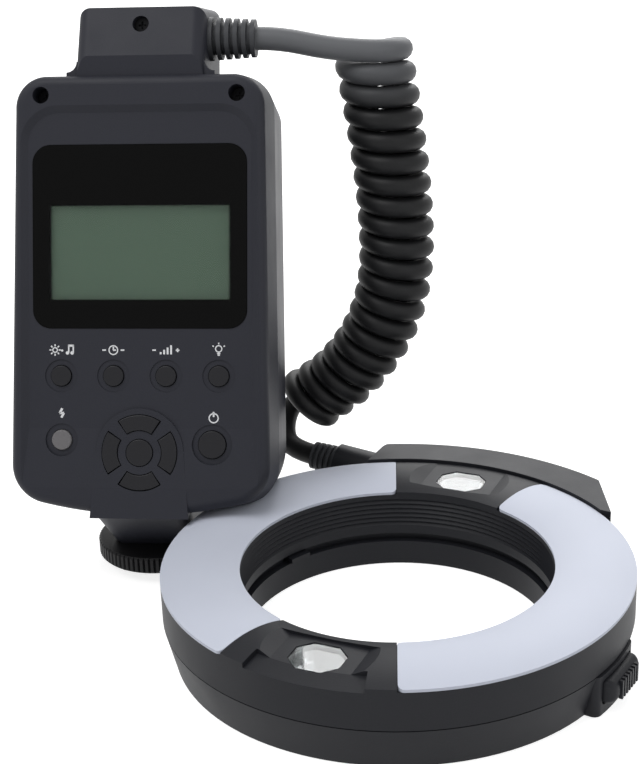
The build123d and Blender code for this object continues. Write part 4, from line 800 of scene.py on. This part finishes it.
class FLASH_OT_finishes(bpy.types.Operator):
    """Give every part of the frame its finish"""
    bl_idname = "flash.finishes"
    bl_label = "Finishes"

    def execute(self, context):
        case, ring = colours().case, colours().ring
        finishes = {
            "case_plastic": moulded("Case Plastic", case, 2800.0, 0.00002, (0.42, 0.56)),
            "ring_plastic": moulded("Ring Plastic", ring, 2800.0, 0.00002, (0.42, 0.56)),
            "lever_plastic": moulded("Lever Plastic", ring, 3000.0, 0.000015, (0.4, 0.52)),
            "key_plastic": moulded("Key Plastic", (0.011, 0.011, 0.0135), 4200.0, 0.000008, (0.3, 0.42)),
            "pilot_lens": frosted("Pilot Lens", (0.15, 0.145, 0.15)),
            "window_glass": masked_glass("Window Glass", (0.93, 0.94, 0.94)),
            "display": liquid_crystal("Liquid Crystal", colours().display),
            "wheel_plastic": moulded("Wheel Plastic", (0.008, 0.008, 0.009), 2600.0, 0.00002, (0.42, 0.55)),
            "shoe_metal": moulded("Shoe Plastic", (0.015, 0.015, 0.017), 2600.0, 0.00001, (0.35, 0.5)),
            "pin_metal": metal("Contact Plating", (0.78, 0.62, 0.32), (0.15, 0.3)),
            "steel": metal("Bright Steel", (0.62, 0.62, 0.64)),
            "screw_steel": metal("Blackened Steel", (0.012, 0.012, 0.013), (0.35, 0.5)),
            "cord_rubber": moulded("Cord Solid", colours().cord),
            "relief_rubber": moulded("Relief Rubber", (0.048, 0.05, 0.055), 2400.0, 0.000015, (0.45, 0.6)),
            "diffuser": frosted("Frosted Diffuser", colours().diffuser),
            "tube_glass": clear("Tube Glass", (0.95, 0.96, 0.97)),
            "lamp_window": clear("Lamp Window", (0.95, 0.96, 0.97)),
            "reflector": metal("Reflector Chrome", (0.85, 0.86, 0.88), (0.08, 0.2)),
            "board": laminate("Board Laminate"),
            "can": moulded("Component Sleeve", (0.03, 0.03, 0.05), 1800.0, 0.000005, (0.25, 0.4)),
            "cell": metal("Cell Jacket", (0.5, 0.42, 0.28), (0.25, 0.4)),
            "tray": moulded("Tray Plastic", (0.02, 0.02, 0.023), 2400.0, 0.00001, (0.4, 0.55)),
        }
        slots = {s["node"]: s["material_slot"] for s in frame["record"]["subparts"]}
        for name, node in frame["nodes"].items():
            for slot in node.material_slots:
                slot.material = finishes[slots[name]]
        return {"FINISHED"}


class FLASH_PT_panel(bpy.types.Panel):
    """Every step of the build"""
    bl_idname = "FLASH_PT_panel"
    bl_label = "Ring Flash"
    bl_space_type = "VIEW_3D"
    bl_region_type = "UI"
    bl_category = "Ring Flash"

    def draw(self, context):
        for step in STEPS:
            self.layout.operator(step.bl_idname)
        for group in (context.scene.flash_sizes, context.scene.flash_colours):
            for name in group.__annotations__:
                self.layout.prop(group, name)


STEPS = (FLASH_OT_camera, FLASH_OT_cord, FLASH_OT_marks, FLASH_OT_lamps, FLASH_OT_finishes, FLASH_OT_stage)
CLASSES = (FlashSizes, FlashColours, *STEPS, FLASH_PT_panel)


def register():
    for cls in CLASSES:
        bpy.utils.register_class(cls)
    bpy.types.Scene.flash_sizes = bpy.props.PointerProperty(type=FlashSizes)
    bpy.types.Scene.flash_colours = bpy.props.PointerProperty(type=FlashColours)


def unregister():
    del bpy.types.Scene.flash_colours
    del bpy.types.Scene.flash_sizes
    for cls in reversed(CLASSES):
        bpy.utils.unregister_class(cls)


def main():
    register()
    bpy.ops.flash.camera()
    bpy.ops.flash.cord()
    bpy.ops.flash.marks()
    bpy.ops.flash.lamps()
    bpy.ops.flash.finishes()
    bpy.ops.flash.stage()


if __name__ == "__main__":
    main()
